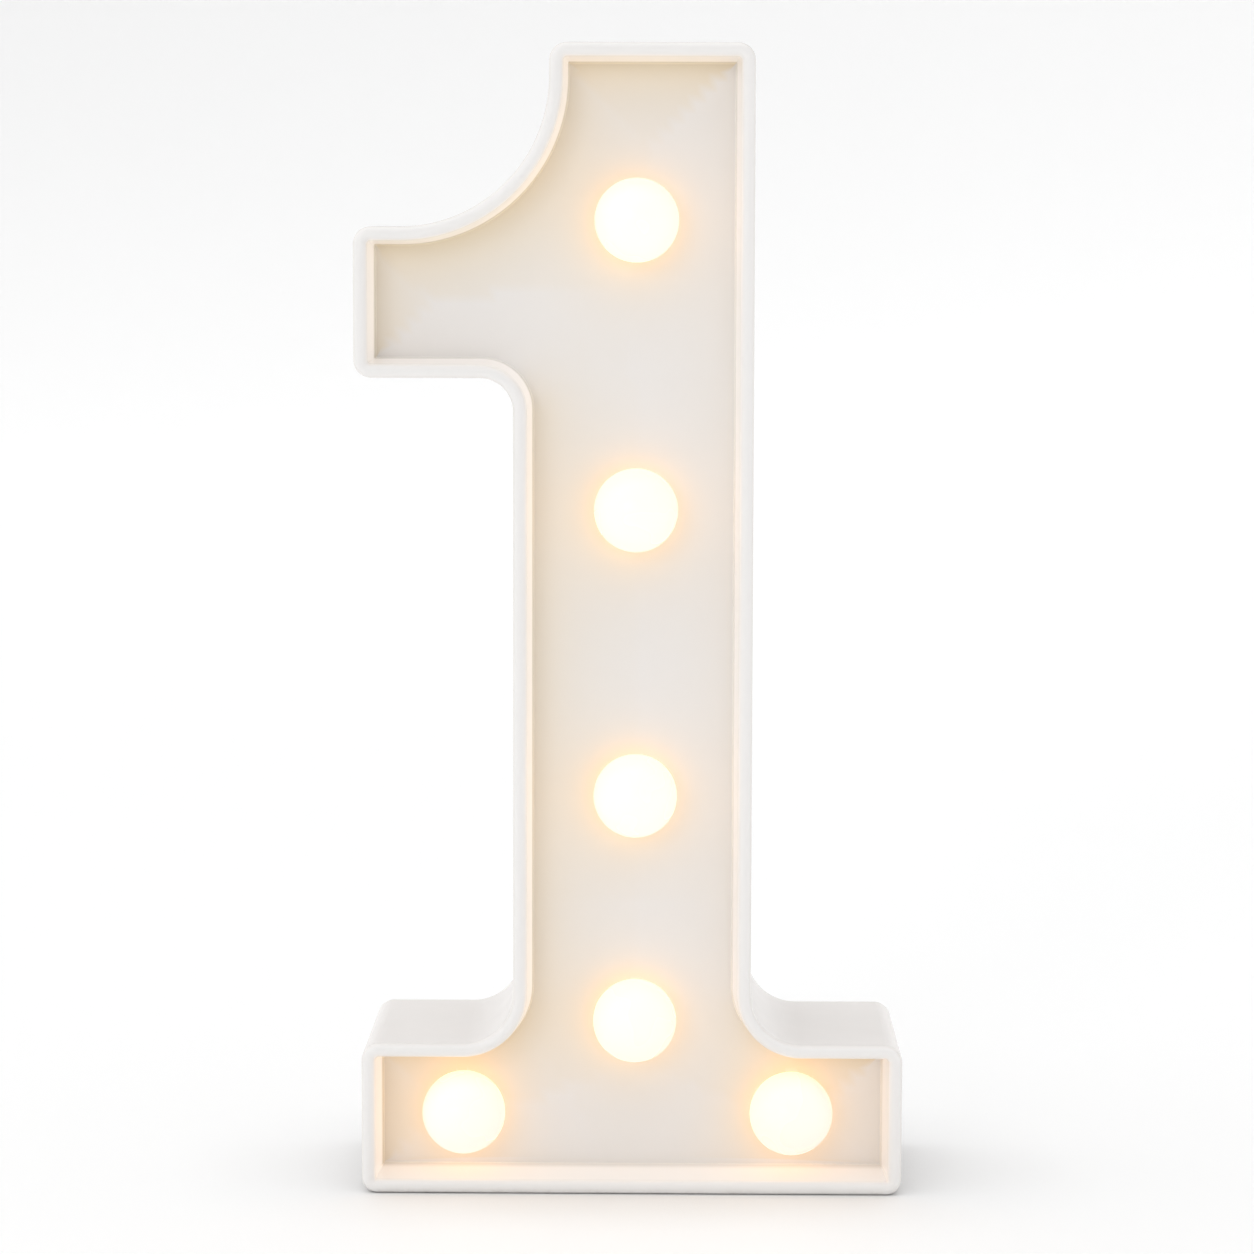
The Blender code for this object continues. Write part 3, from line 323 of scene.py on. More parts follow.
def moulded_skin():
    """Moulded plastic: slow clouds in the colour, rubbed patches in the gloss, fine grain on a slow wave."""
    group, given, out = node_group("moulded_skin", (
        ("Colour", "Color", (0.8, 0.8, 0.8, 1.0)),
        ("Cloud Colour", "Color", (0.78, 0.77, 0.75, 1.0)),
        ("Gloss Roughness", "Float", 0.30),
        ("Rub Roughness", "Float", 0.40),
        ("Grain", "Float", 2200.0),
        ("Grain Strength", "Float", 0.10),
    ), (("Colour", "Color"), ("Roughness", "Float"), ("Normal", "Vector")))
    place = object_place(group)
    cloud = noise(group, place, 16.0, 2.0)
    rub = noise(group, place, 60.0, 2.0)
    grain = noise(group, place, given["Grain"], 2.0)
    wave = noise(group, place, 55.0, 1.0)
    colour = mixed(group, mapped(group, cloud, 0.30, 0.70), given["Colour"], given["Cloud Colour"])
    rough = mapped(group, rub, 0.30, 0.72, given["Gloss Roughness"], given["Rub Roughness"])
    soft = bumped(group, wave, 0.10, 0.0004)
    normal = bumped(group, grain, given["Grain Strength"], 0.00002, soft)
    for value, label in ((colour, "Colour"), (rough, "Roughness"), (normal, "Normal")):
        group.links.new(value, out[label])
    return group


def foot_darkening():
    """Darker, browner patches at the foot of the piece, fading out upwards and broken up by noise."""
    group, given, out = node_group("foot_darkening", (
        ("Colour", "Color", (0.8, 0.8, 0.8, 1.0)),
        ("Foot Colour", "Color", (0.45, 0.41, 0.36, 1.0)),
        ("Foot Height", "Float", 0.0015),
        ("Amount", "Float", 0.25),
    ), (("Colour", "Color"),))
    place = object_place(group)
    low = mapped(group, split(group, place)["Z"], 0.0, given["Foot Height"], 1.0, 0.0)
    patch = mapped(group, noise(group, place, 420.0, 4.0, 0.65), 0.42, 0.68)
    mask = math_node(group, "MULTIPLY", math_node(group, "MULTIPLY", low, patch), given["Amount"])
    group.links.new(mixed(group, mask, given["Colour"], given["Foot Colour"]), out["Colour"])
    return group


def brushed_plate():
    """Plated metal: fine scratches along one way, and soft stains."""
    group, given, out = node_group("brushed_plate", (
        ("Colour", "Color", (0.6, 0.6, 0.6, 1.0)),
        ("Stain Colour", "Color", (0.45, 0.43, 0.40, 1.0)),
        ("Gloss Roughness", "Float", 0.22),
        ("Rub Roughness", "Float", 0.42),
        ("Scratch Strength", "Float", 0.12),
    ), (("Colour", "Color"), ("Roughness", "Float"), ("Normal", "Vector")))
    place = object_place(group)
    stretch = group.nodes.new("ShaderNodeMapping")
    stretch.inputs["Scale"].default_value = (1.0, 1.0, 14.0)
    group.links.new(place, stretch.inputs["Vector"])
    scratch = noise(group, stretch.outputs[0], 1500.0, 3.0)
    stain = mapped(group, noise(group, place, 700.0, 4.0, 0.6), 0.45, 0.75)
    stained = mixed(group, stain, given["Colour"], given["Stain Colour"])
    group.links.new(stained, out["Colour"])
    rough = mapped(group, scratch, 0.3, 0.7, given["Gloss Roughness"], given["Rub Roughness"])
    group.links.new(rough, out["Roughness"])
    group.links.new(bumped(group, scratch, given["Scratch Strength"], 0.00003), out["Normal"])
    return group


MOULDED = moulded_skin()
FOOT_DARKENING = foot_darkening()
BRUSHED = brushed_plate()


def new_material(name):
    """A material, its tree and its shader."""
    material = bpy.data.materials.new(name)
    material.use_nodes = True
    return material, material.node_tree, material.node_tree.nodes["Principled BSDF"]


def coated(name, group, values):
    """A new material that takes its colour, roughness and normal from a group."""
    material, tree, shader = new_material(name)
    skin = placed_group(tree, group, values)
    for label, socket in (("Colour", "Base Color"), ("Roughness", "Roughness"), ("Normal", "Normal")):
        tree.links.new(skin.outputs[label], shader.inputs[socket])
    return material, tree, shader


def placed_group(tree, group, values):
    """A shader group placed in a tree, with its own values."""
    node = tree.nodes.new("ShaderNodeGroup")
    node.node_tree = group
    for label, value in values.items():
        node.inputs[label].default_value = value
    return node


def plastic(name, colour, cloud, gloss, rub, grain=2200.0, grain_strength=0.10, foot_dark=0.0):
    """Moulded plastic of one colour, with grain, gloss marks and, where asked, darker patches at its foot."""
    material, tree, shader = coated(name, MOULDED, {
        "Colour": (*colour, 1.0), "Cloud Colour": (*cloud, 1.0), "Gloss Roughness": gloss,
        "Rub Roughness": rub, "Grain": grain, "Grain Strength": grain_strength,
    })
    if foot_dark:
        marks = placed_group(tree, FOOT_DARKENING, {"Amount": foot_dark})
        base = shader.inputs["Base Color"]
        tree.links.new(base.links[0].from_socket, marks.inputs["Colour"])
        tree.links.new(marks.outputs["Colour"], base)
    return material


def metal(name, colour, stain, gloss, rub, scratch=0.12):
    """Plated metal of one colour, with scratches and stains."""
    material, _, shader = coated(name, BRUSHED, {
        "Colour": (*colour, 1.0), "Stain Colour": (*stain, 1.0), "Gloss Roughness": gloss,
        "Rub Roughness": rub, "Scratch Strength": scratch,
    })
    shader.inputs["Metallic"].default_value = 1.0
    return material


def attribute(tree, name):
    """A value that the mesh carries at its points."""
    node = tree.nodes.new("ShaderNodeAttribute")
    node.attribute_name = name
    return node.outputs["Fac"]


def tinted(tree, share, colour, tint):
    """The colour multiplied by a tint, as far as the share says."""
    node = tree.nodes.new("ShaderNodeMix")
    node.data_type = "RGBA"
    node.blend_type = "MULTIPLY"
    node.inputs[7].default_value = tint
    tree.links.new(share, node.inputs[0])
    tree.links.new(colour, node.inputs[6])
    return node.outputs[2]


def recess_plastic(name):
    """White plastic with painted light and shade: greyer on its outer sides and a little on the panel, tinted
    warm beside the lamps and by the top and left walls, and lit by emission on the recess walls.
    """
    material = plastic(
        name, (0.890, 0.875, 0.860), (0.885, 0.869, 0.853), 0.22, 0.26, 1800.0, 0.05, foot_dark=0.20
    )
    tree, shader = material.node_tree, material.node_tree.nodes["Principled BSDF"]
    warmth, shade, glow = (attribute(tree, label) for label in ("warmth", "shade", "glow"))
    clean = shader.inputs["Base Color"].links[0].from_socket
    # Painted shade: the outer sides, and the panel less, are tinted greyer.
    with_painted_shade = tinted(tree, shade, clean, (0.935, 0.910, 0.895, 1.0))
    depth = split(tree, object_place(tree))["Y"]
    on_wall = mapped(tree, depth, PANEL_FRONT - WALL_START, PANEL_FRONT - WALL_FULL)
    less = mapped(tree, depth, PANEL_FRONT - WALL_START, PANEL_FRONT - WALL_FULL, 1.0, WALL_PAINTED_SHARE)
    # Painted lamp light beside the lamps and painted shade by the top and left walls, as a warm tint, weaker
    # up the walls.
    tint = tinted(tree, math_node(tree, "MULTIPLY", less, warmth), with_painted_shade, (0.97, 0.865, 0.67, 1.0))
    tree.links.new(tint, shader.inputs["Base Color"])
    # Painted light: the recess walls shine by emission, most at the left.
    on_wall = math_node(tree, "MULTIPLY", on_wall, glow)
    lit = mixed(tree, on_wall, (0.0, 0.0, 0.0, 1.0), (0.36, 0.335, 0.33, 1.0))
    tree.links.new(lit, shader.inputs["Emission Color"])
    shader.inputs["Emission Strength"].default_value = 1.0
    return material


def lit_globe(name):
    """Milky plastic lit from inside: white where the lamp points, warmer towards the panel."""
    material, tree, shader = coated(name, MOULDED, {
        "Colour": (0.86, 0.83, 0.76, 1.0), "Cloud Colour": (0.84, 0.80, 0.72, 1.0),
        "Gloss Roughness": 0.22, "Rub Roughness": 0.30, "Grain Strength": 0.05,
    })
    depth = split(tree, object_place(tree))["Y"]
    ahead = mapped(tree, depth, PANEL_FRONT, PANEL_FRONT - 2 * GLOBE_RADIUS, kind="LINEAR")
    ramp = tree.nodes.new("ShaderNodeValToRGB")
    stops = ramp.color_ramp.elements
    stops[0].position, stops[0].color = 0.0, (0.06, 0.025, 0.004, 1.0)
    stops[1].position, stops[1].color = 0.60, (0.25, 0.22, 0.19, 1.0)
    for position, colour in ((0.03, (0.95, 0.60, 0.36, 1.0)), (0.26, (0.95, 0.60, 0.36, 1.0)),
                             (0.385, (0.42, 0.30, 0.20, 1.0))):
        stops.new(position).color = colour
    tree.links.new(ahead, ramp.inputs[0])
    tree.links.new(ramp.outputs["Color"], shader.inputs["Emission Color"])
    shader.inputs["Emission Strength"].default_value = 1.3
    return material


FINISHES = {
    "white_plastic": recess_plastic("white_plastic"),
    "cover_plastic": plastic(
        "cover_plastic", (0.885, 0.868, 0.850), (0.875, 0.857, 0.838), 0.42, 0.52, 2600.0, 0.30, foot_dark=0.25
    ),
    "milky_globe": lit_globe("milky_globe"),
    "lamp_epoxy": plastic("lamp_epoxy", (0.90, 0.82, 0.52), (0.88, 0.78, 0.46), 0.08, 0.16, 2200.0, 0.03),
    "holder_plastic": plastic("holder_plastic", (0.70, 0.68, 0.63), (0.66, 0.64, 0.59), 0.38, 0.52),
    "cell_wrap": plastic("cell_wrap", (0.055, 0.105, 0.17), (0.052, 0.100, 0.163), 0.25, 0.28, 2200.0, 0.02),
    "cell_band": plastic("cell_band", (0.72, 0.72, 0.70), (0.71, 0.71, 0.69), 0.25, 0.28, 2200.0, 0.02),
    "plated_steel": metal("plated_steel", (0.66, 0.65, 0.63), (0.59, 0.575, 0.55), 0.20, 0.36),
    "zinc_screw": metal("zinc_screw", (0.60, 0.61, 0.63), (0.46, 0.46, 0.46), 0.24, 0.44, 0.2),
    "switch_board": plastic("switch_board", (0.21, 0.095, 0.045), (0.17, 0.075, 0.035), 0.50, 0.66),
    "knob_plastic": plastic("knob_plastic", (0.022, 0.022, 0.023), (0.030, 0.030, 0.030), 0.36, 0.52),
    "resistor_coat": plastic("resistor_coat", (0.56, 0.42, 0.26), (0.52, 0.38, 0.23), 0.30, 0.42),
    "red_insulation": plastic("red_insulation", (0.48, 0.018, 0.014), (0.42, 0.016, 0.012), 0.34, 0.46),
    "black_insulation": plastic("black_insulation", (0.018, 0.018, 0.018), (0.026, 0.026, 0.026), 0.34, 0.46),
}


def placed(name, data):
    """A new object in the scene that holds the data."""
    holder = bpy.data.objects.new(name, data)
    bpy.context.scene.collection.objects.link(holder)
    return holder


def grid(points):
    """Quads over an array of rows by columns of points. Each row closes on itself."""
    rows, columns = points.shape[:2]
    index = np.arange(rows * columns).reshape(rows, columns)
    index = np.concatenate([index, index[:, :1]], axis=1)
    quads = np.stack([index[:-1, :-1], index[:-1, 1:], index[1:, 1:], index[1:, :-1]], axis=-1)
    return points.reshape(-1, 3), quads.reshape(-1, 4)


def joined(name, sheets, material, weighted=True, sharp=SHARP, **values):
    """One mesh object from sheets of points and faces: seams welded, faces outwards, edges sharp by angle."""
    offsets = np.cumsum([0] + [len(points) for points, _ in sheets[:-1]])
    faces = [face for (_, polygons), start in zip(sheets, offsets) for face in (polygons + start).tolist()]
    data = bpy.data.meshes.new(name)
    data.from_pydata(np.concatenate([points for points, _ in sheets]).tolist(), [], faces)
    for label, value in values.items():
        data.attributes.new(label, "FLOAT", "POINT").data.foreach_set("value", np.concatenate(value))
    return finished(name, data, material, weighted, sharp)


def finished(name, data, material, weighted=True, sharp=SHARP):
    """A mesh welded, its faces outwards and its sharp edges set by angle, as an object in the scene."""
    bm = bmesh.new()
    bm.from_mesh(data)
    bmesh.ops.remove_doubles(bm, verts=bm.verts, dist=WELD)
    bmesh.ops.dissolve_degenerate(bm, edges=bm.edges, dist=WELD)
    bmesh.ops.recalc_face_normals(bm, faces=bm.faces)
    bm.to_mesh(data)
    bm.free()
    data.shade_smooth()
    data.set_sharp_from_angle(angle=sharp)
    if not data.materials:
        data.materials.append(material)
    piece = placed(name, data)
    if weighted:
        piece.modifiers.new("even_normals", "WEIGHTED_NORMAL").keep_sharp = True
    return piece


OUTLINE_TABLE = np.array((
    (-BASE_HALF_WIDTH, 0.0, FOOT_RADIUS, 1, CORNER_STEPS),
    (BASE_HALF_WIDTH, 0.0, FOOT_RADIUS, 1, CORNER_STEPS),
    (BASE_HALF_WIDTH, BASE_HEIGHT, CORNER_RADIUS, 1, CORNER_STEPS),
    (STEM_HALF_WIDTH, BASE_HEIGHT, BASE_FILLET, -1, FILLET_STEPS),
    (STEM_HALF_WIDTH, HEIGHT, CORNER_RADIUS, 1, CORNER_STEPS),
    (-TOP_REACH, HEIGHT, CORNER_RADIUS, 1, CORNER_STEPS),
    (-TOP_REACH, FLAG_TOP, HOLLOW_RADIUS, -1, HOLLOW_STEPS),
    (-FLAG_REACH, FLAG_TOP, CORNER_RADIUS, 1, CORNER_STEPS),
    (-FLAG_REACH, FLAG_BOTTOM, CORNER_RADIUS, 1, CORNER_STEPS),
    (-STEM_HALF_WIDTH, FLAG_BOTTOM, FLAG_FILLET, -1, FILLET_STEPS),
    (-STEM_HALF_WIDTH, BASE_HEIGHT, BASE_FILLET, -1, FILLET_STEPS),
    (-BASE_HALF_WIDTH, BASE_HEIGHT, CORNER_RADIUS, 1, CORNER_STEPS),
))


def edge_ways(corners):
    """The unit way that a loop's edge runs before each corner, and after it."""
    run = np.roll(corners, -1, axis=0) - corners
    after = run / np.linalg.norm(run, axis=1, keepdims=True)
    return np.roll(after, 1, axis=0), after


def outline(insets):
    """Loops of x, z points, one for each inset: corners move inwards, and arcs join the straights."""
    before, after = edge_ways(OUTLINE_TABLE[:, :2])
    insets = np.asarray(insets, float)[:, None, None]
    arcs = []
    for (x, z, radius, bend, steps), come, leave in zip(OUTLINE_TABLE, before, after):
        inward = np.array((-come[1], come[0]))
        corner = np.array((x, z)) + insets * (inward + np.array((-leave[1], leave[0])))
        radii = np.maximum(radius - bend * insets, LEAST_RADIUS)
        centre = corner - radii * come + bend * radii * inward
        angle = np.linspace(0.0, math.pi / 2, int(steps) + 1)[:, None]
        arcs.append(centre + radii * (np.sin(angle) * come - bend * np.cos(angle) * inward))
    return np.concatenate(arcs, axis=1)


def at_depth(loop, y):
    """Loops of x, z points stood up at their depths."""
    return np.stack([loop[..., 0], np.broadcast_to(y, loop.shape[:-1]), loop[..., 1]], axis=-1)


def carried(profile, loop_of):
    """A sheet whose rings are the loop at each inset of the profile, set at that ring's depth."""
    profile = np.asarray(profile, float)
    return grid(at_depth(loop_of(profile[:, 0]), profile[:, 1:]))


def round_loop(x, z, steps):
    """Circles about x, z as a function of their radii."""
    angle = np.linspace(0.0, 2 * math.pi, steps, endpoint=False)
    spread = np.stack([np.cos(angle), np.sin(angle)], axis=1)
    return lambda radii: np.array((x, z)) + np.asarray(radii, float)[:, None, None] * spread


def box_loop(half_width, low, high, corner, x=0.0, steps=6):
    """Rectangles with round corners about x, between two heights, as a function of their moves outwards."""
    quarter = np.linspace(0.0, math.pi / 2, steps + 1)
    angle = (quarter + np.arange(4)[:, None] * math.pi / 2).ravel()
    spread = np.stack([np.cos(angle), np.sin(angle)], axis=1)
    side = np.repeat([(1, 1), (-1, 1), (-1, -1), (1, -1)], steps + 1, axis=0)
    reach = np.array((half_width, (high - low) / 2))
    middle = np.array((x, (low + high) / 2))

    def loop(outs):
        outs = np.asarray(outs, float)[:, None, None]
        radii = np.maximum(corner + outs, LEAST_RADIUS)
        return middle + side * (reach + outs - radii) + radii * spread

    return loop


def inside(points, loop):
    """Which points lie in a loop, by counting the loop's crossings to the right of each."""
    x, z = points[:, :1], points[:, 1:]
    x1, z1 = loop[:, 0], loop[:, 1]
    x2, z2 = np.roll(x1, -1), np.roll(z1, -1)
    spans = (z1 > z) != (z2 > z)
    slope = np.where(z2 == z1, 1.0, z2 - z1)
    return (spans & (x < x1 + (z - z1) * (x2 - x1) / slope)).sum(axis=1) % 2 == 1


def pierced(outer, holes, y, spots_between=None):
    """A flat face at one depth, bounded by a loop and pierced by other loops, in Delaunay triangles."""
    loops = [outer, *holes]
    spots = np.concatenate(loops if spots_between is None else [*loops, spots_between])
    edges, start = [], 0
    for loop in loops:
        ring = np.arange(len(loop)) + start
        edges += np.stack([ring, np.roll(ring, -1)], axis=1).tolist()
        start += len(loop)
    verts, _, faces, *_ = delaunay_2d_cdt(list(map(Vector, spots * 1000)), edges, [], 0, 1e-7)
    flat = np.array(verts) / 1000
    faces = np.array(faces)
    middle = flat[faces].mean(axis=1)
    keep = inside(middle, outer)
    for hole in holes:
        keep &= ~inside(middle, hole)
    return at_depth(flat, y), faces[keep]


def arc(centre, radius, start, end, steps):
    """Radius, height pairs on an arc. Angles run from straight up, turning outwards."""
    angle = np.linspace(start, end, steps + 1)
    return np.stack([radius * np.sin(angle), centre + radius * np.cos(angle)], axis=1)


def turned(profile, steps, origin, axis, start):
    """A profile of radius, height pairs turned about an axis through origin, beginning at the way start."""
    profile = np.asarray(profile)
    axis, start = np.array(axis, float), np.array(start, float)
    side = np.cross(axis, start)
    angle = np.linspace(0.0, 2 * math.pi, steps, endpoint=False)
    spread = np.cos(angle)[:, None] * start + np.sin(angle)[:, None] * side
    points = np.array(origin) + profile[:, None, :1] * spread + profile[:, None, 1:] * axis
    return grid(points)


def rounded(radius, surface, steps=4):
    """A quarter round from a side over to a flat surface, as inset, height pairs."""
    angle = np.linspace(0.0, math.pi / 2, steps + 1)
    return zip(radius * (1 - np.cos(angle)), surface - radius * (1 - np.sin(angle)))


def rim_profile():
    """From the panel's edge up the drafted wall, over the half-round rim, down the side to the rear."""
    bead = RIM_WIDTH / 2
    foot = arc(0.0, PANEL_FILLET, math.pi / 2, math.pi, 4)
    angle = np.linspace(0.0, math.pi, RIM_STEPS + 1)
    inner = RIM_WIDTH + RECESS_DRAFT
    return [
        *[(inner + PANEL_FILLET - r, PANEL_FRONT - PANEL_FILLET - h) for r, h in foot[::-1]],
        (RIM_WIDTH + RECESS_DRAFT / 20, FRONT + bead + (PANEL_FRONT - FRONT - bead) / 20),
        *zip(bead + bead * np.cos(angle), FRONT + bead - bead * np.sin(angle)),
        (0.0, FRONT + 2 * bead),
        (0.0, BACK - 2 * REAR_ROUND),
        *rounded(REAR_ROUND, BACK, 5),
        (REAR_WALL - REAR_ROUND / 2, BACK),
        (REAR_WALL, BACK - REAR_ROUND / 2),
        (REAR_WALL, PANEL_BACK),
    ]


def to_walls(spots, loop):
    """Each spot's distance to a loop, and the way the nearest stretch of it runs."""
    run = np.roll(loop, -1, axis=0) - loop
    share = np.clip(((spots[:, None] - loop) * run).sum(-1) / (run**2).sum(-1), 0.0, 1.0)
    away = np.linalg.norm(loop + share[..., None] * run - spots[:, None], axis=-1)
    near = away.argmin(axis=1)
    return away.min(axis=1), run[near] / np.linalg.norm(run[near], axis=1, keepdims=True)


def panel_warmth(spots):
    """One less the product of what two exponential fades leave.

    One fades from the nearest lamp, most at its lower left, as painted lamp light, and one from the walls,
    most at top and left, as painted shade.
    """
    ways = spots[:, None] - np.array(LAMP_PLACES)
    lamps = np.linalg.norm(ways, axis=-1)
    near = lamps.argmin(axis=1)
    lamps = lamps.min(axis=1)
    lean = (ways[np.arange(len(spots)), near] @ np.array(HALO_WAY)) / np.maximum(lamps, GLOBE_RADIUS)
    reach = HALO_REACH[0] + HALO_REACH[1] * lean
    halo = np.exp(-np.maximum(lamps - GLOBE_RADIUS, 0.0) / reach) * (HALO_SHARE[0] + HALO_SHARE[1] * lean)
    away, way = to_walls(spots, outline([RIM_WIDTH + RECESS_DRAFT])[0])
    facing = np.clip(0.39 - 0.25 * way[:, 1] - 0.60 * way[:, 0], 0.05, 1.0)
    return 1 - (1 - halo) * (1 - facing * np.exp(-away / WALL_REACH))


def painted_wall_glow(foot):
    """How strongly the painted light lights the wall over each point of an edge, by the way the edge runs:
    most at the left.
    """
    way = to_walls(foot, foot)[1]
    return 0.56 - 0.20 * way[:, 1] - 0.04 * way[:, 0] - 0.10 * way[:, 0] ** 2


def between_spots(outer, holes, pitch):
    """Spots on a square grid inside a loop and outside its holes, a third of the pitch clear of both."""
    low, high = outer.min(axis=0), outer.max(axis=0)
    across, up = (np.arange(low[axis] + pitch / 2, high[axis], pitch) for axis in (0, 1))
    spots = np.stack(np.meshgrid(across, up), axis=-1).reshape(-1, 2)
    keep = inside(spots, outer)
    for loop in holes:
        keep &= ~inside(spots, loop)
    spots = spots[keep]
    rims = np.concatenate(holes)
    clear = np.linalg.norm(spots[:, None] - rims, axis=-1).min(axis=1) > pitch / 3
    return spots[clear & (to_walls(spots, outer)[0] > pitch / 3)]


def front_shell():
    """Rim profile carried round the outline, then both faces of the panel, neck holes and screw bosses."""
    profile = np.array(rim_profile())
    necks = [round_loop(x, z, GLOBE_STEPS)([NECK_RADIUS + GAP])[0] for x, z in LAMP_PLACES]
    feet = [round_loop(x, z, 32) for x, z in SCREW_PLACES]
    boss = [
        (BOSS_RADIUS, PANEL_BACK),
        (BOSS_RADIUS, BOSS_TOP - REAR_ROUND / 2),
        (BOSS_RADIUS - REAR_ROUND / 2, BOSS_TOP),
        (PILOT_RADIUS, BOSS_TOP),
        (PILOT_RADIUS, PILOT_DEEP),
        (0.0, PILOT_DEEP),
    ]
    foot = outline(profile[:1, 0])[0]
    sheets = [
        carried(profile, outline),
        pierced(foot, necks, PANEL_FRONT, between_spots(foot, necks, PANEL_PITCH)),
        pierced(outline([REAR_WALL])[0], necks + [loop([BOSS_RADIUS])[0] for loop in feet], PANEL_BACK),
        *[grid(at_depth(np.stack([neck, neck]), np.array([[PANEL_FRONT], [PANEL_BACK]]))) for neck in necks],
        *[carried(boss, loop) for loop in feet],
    ]
    in_recess = np.interp(profile[:, 1], (FRONT + RIM_WIDTH / 6, FRONT + RIM_WIDTH), (0.0, 1.0))
    in_recess *= (profile[:, 0] > RIM_WIDTH / 2) & (profile[:, 1] < PANEL_FRONT + WELD)
    # Painted light and shade at the points: a warm tint for the lamps' halo and the shade by the walls, a
    # greyer tint for shade on the outer sides and panel, and light on the recess walls.
    warmth, shade, glow = ([np.zeros(len(points)) for points, _ in sheets] for _ in range(3))
    warmth[0] = (in_recess[:, None] * panel_warmth(foot)).ravel()
    warmth[1] = panel_warmth(sheets[1][0][:, [0, 2]])
    # Painted shade: full on the outer sides, fading over the rim's outer part, and PANEL_SHADE on the panel.
    outwards = np.interp(profile[:, 0], (0.0, RIM_WIDTH / 5), (1.0, 0.0))
    outwards[profile[:, 1] > PANEL_FRONT + WELD] = 1.0
    outwards[0] = PANEL_SHADE
    shade[0] = np.repeat(outwards, len(foot))
    shade[1] += PANEL_SHADE
    glow[0] = (in_recess[:, None] * painted_wall_glow(foot)).ravel()
    white = FINISHES["white_plastic"]
    return joined("front_shell_moulding", sheets, white, warmth=warmth, shade=shade, glow=glow)


def combined(body, tool, operation):
    """The body joined to a tool, or the tool cut out of it. The tool is removed."""
    modifier = body.modifiers.new("joint", "BOOLEAN")
    modifier.operation = operation
    modifier.solver = "EXACT"
    modifier.object = tool
    made = bpy.data.meshes.new_from_object(body.evaluated_get(bpy.context.evaluated_depsgraph_get()))
    body.modifiers.clear()
    body.data = made
    bpy.data.objects.remove(tool)


def capped(profile, loop_of):
    """A closed block: a loop carried through the profile's outward moves and depths, with flat ends."""
    points, quads = carried(profile, loop_of)
    count = len(points) // len(profile)
    end = np.arange(count)[None, :]
    return [(points, quads), (points[:count], end), (points[-count:], end)]


def block(name, parts):
    """A tool or a body made of closed blocks that don't touch each other."""
    sheets = [sheet for part in parts for sheet in part]
    return joined(name, sheets, FINISHES["cover_plastic"], weighted=False)


def add(body, name, *parts):
    """Join closed blocks to a body."""
    combined(body, block(name, parts), "UNION")


def cut(body, name, *parts):
    """Cut closed blocks out of a body."""
    combined(body, block(name, parts), "DIFFERENCE")


def remade(name, body, material, weighted=True):
    """The body's mesh finished again, after its unions and cuts."""
    data = body.data.copy()
    bpy.data.objects.remove(body)
    return finished(name, data, material, weighted)


def cut_profile(deep, depth_to):
    """A cutter's profile: straight from its floor to the surface, with a lip that rounds the cut edge."""
    return [(0.0, deep), *rounded(EDGE_ROUND, depth_to), (EDGE_ROUND, depth_to + OVERRUN)]


def keyhole_loop(outs):
    """A round mouth with a narrower slot rising from it to a round end, as a function of moves outwards."""
    outs = np.asarray(outs)[:, None]
    mouth, slot = KEYHOLE_RADIUS + outs, KEYHOLE_SLOT + outs
    meet = np.arcsin(slot / mouth)
    below = math.pi / 2 + meet + (2 * math.pi - 2 * meet) * np.linspace(0.0, 1.0, 49)
    end = np.linspace(0.0, math.pi, 25)
    round_mouth = np.stack([mouth * np.cos(below), KEYHOLE_Z + mouth * np.sin(below)], axis=-1)
    round_end = np.stack([slot * np.cos(end), KEYHOLE_Z + KEYHOLE_LENGTH + slot * np.sin(end)], axis=-1)
    return np.concatenate([round_mouth, round_end], axis=1)


def flat_word(word, x, z):
    """A word as a thin solid, to be sunk into the back cover and read from behind."""
    curve = bpy.data.curves.new(word, "FONT")
    curve.body = word
    curve.size = WORD_SIZE
    curve.align_x = "CENTER"
    curve.align_y = "CENTER"
    curve.extrude = WORD_HALF_DEPTH
    curve.resolution_u = 4
    holder = placed(word, curve)
    bpy.context.view_layer.update()
    data = bpy.data.meshes.new_from_object(holder.evaluated_get(bpy.context.evaluated_depsgraph_get()))
    bpy.data.objects.remove(holder)
    stand = Matrix.Rotation(math.pi, 4, "Z") @ Matrix.Rotation(math.pi / 2, 4, "X")
    data.transform(Matrix.Translation((x, BACK + WORD_HALF_DEPTH - WORD_SUNK, z)) @ stand)
    return finished(word.lower() + "_word", data, FINISHES["cover_plastic"], weighted=False)


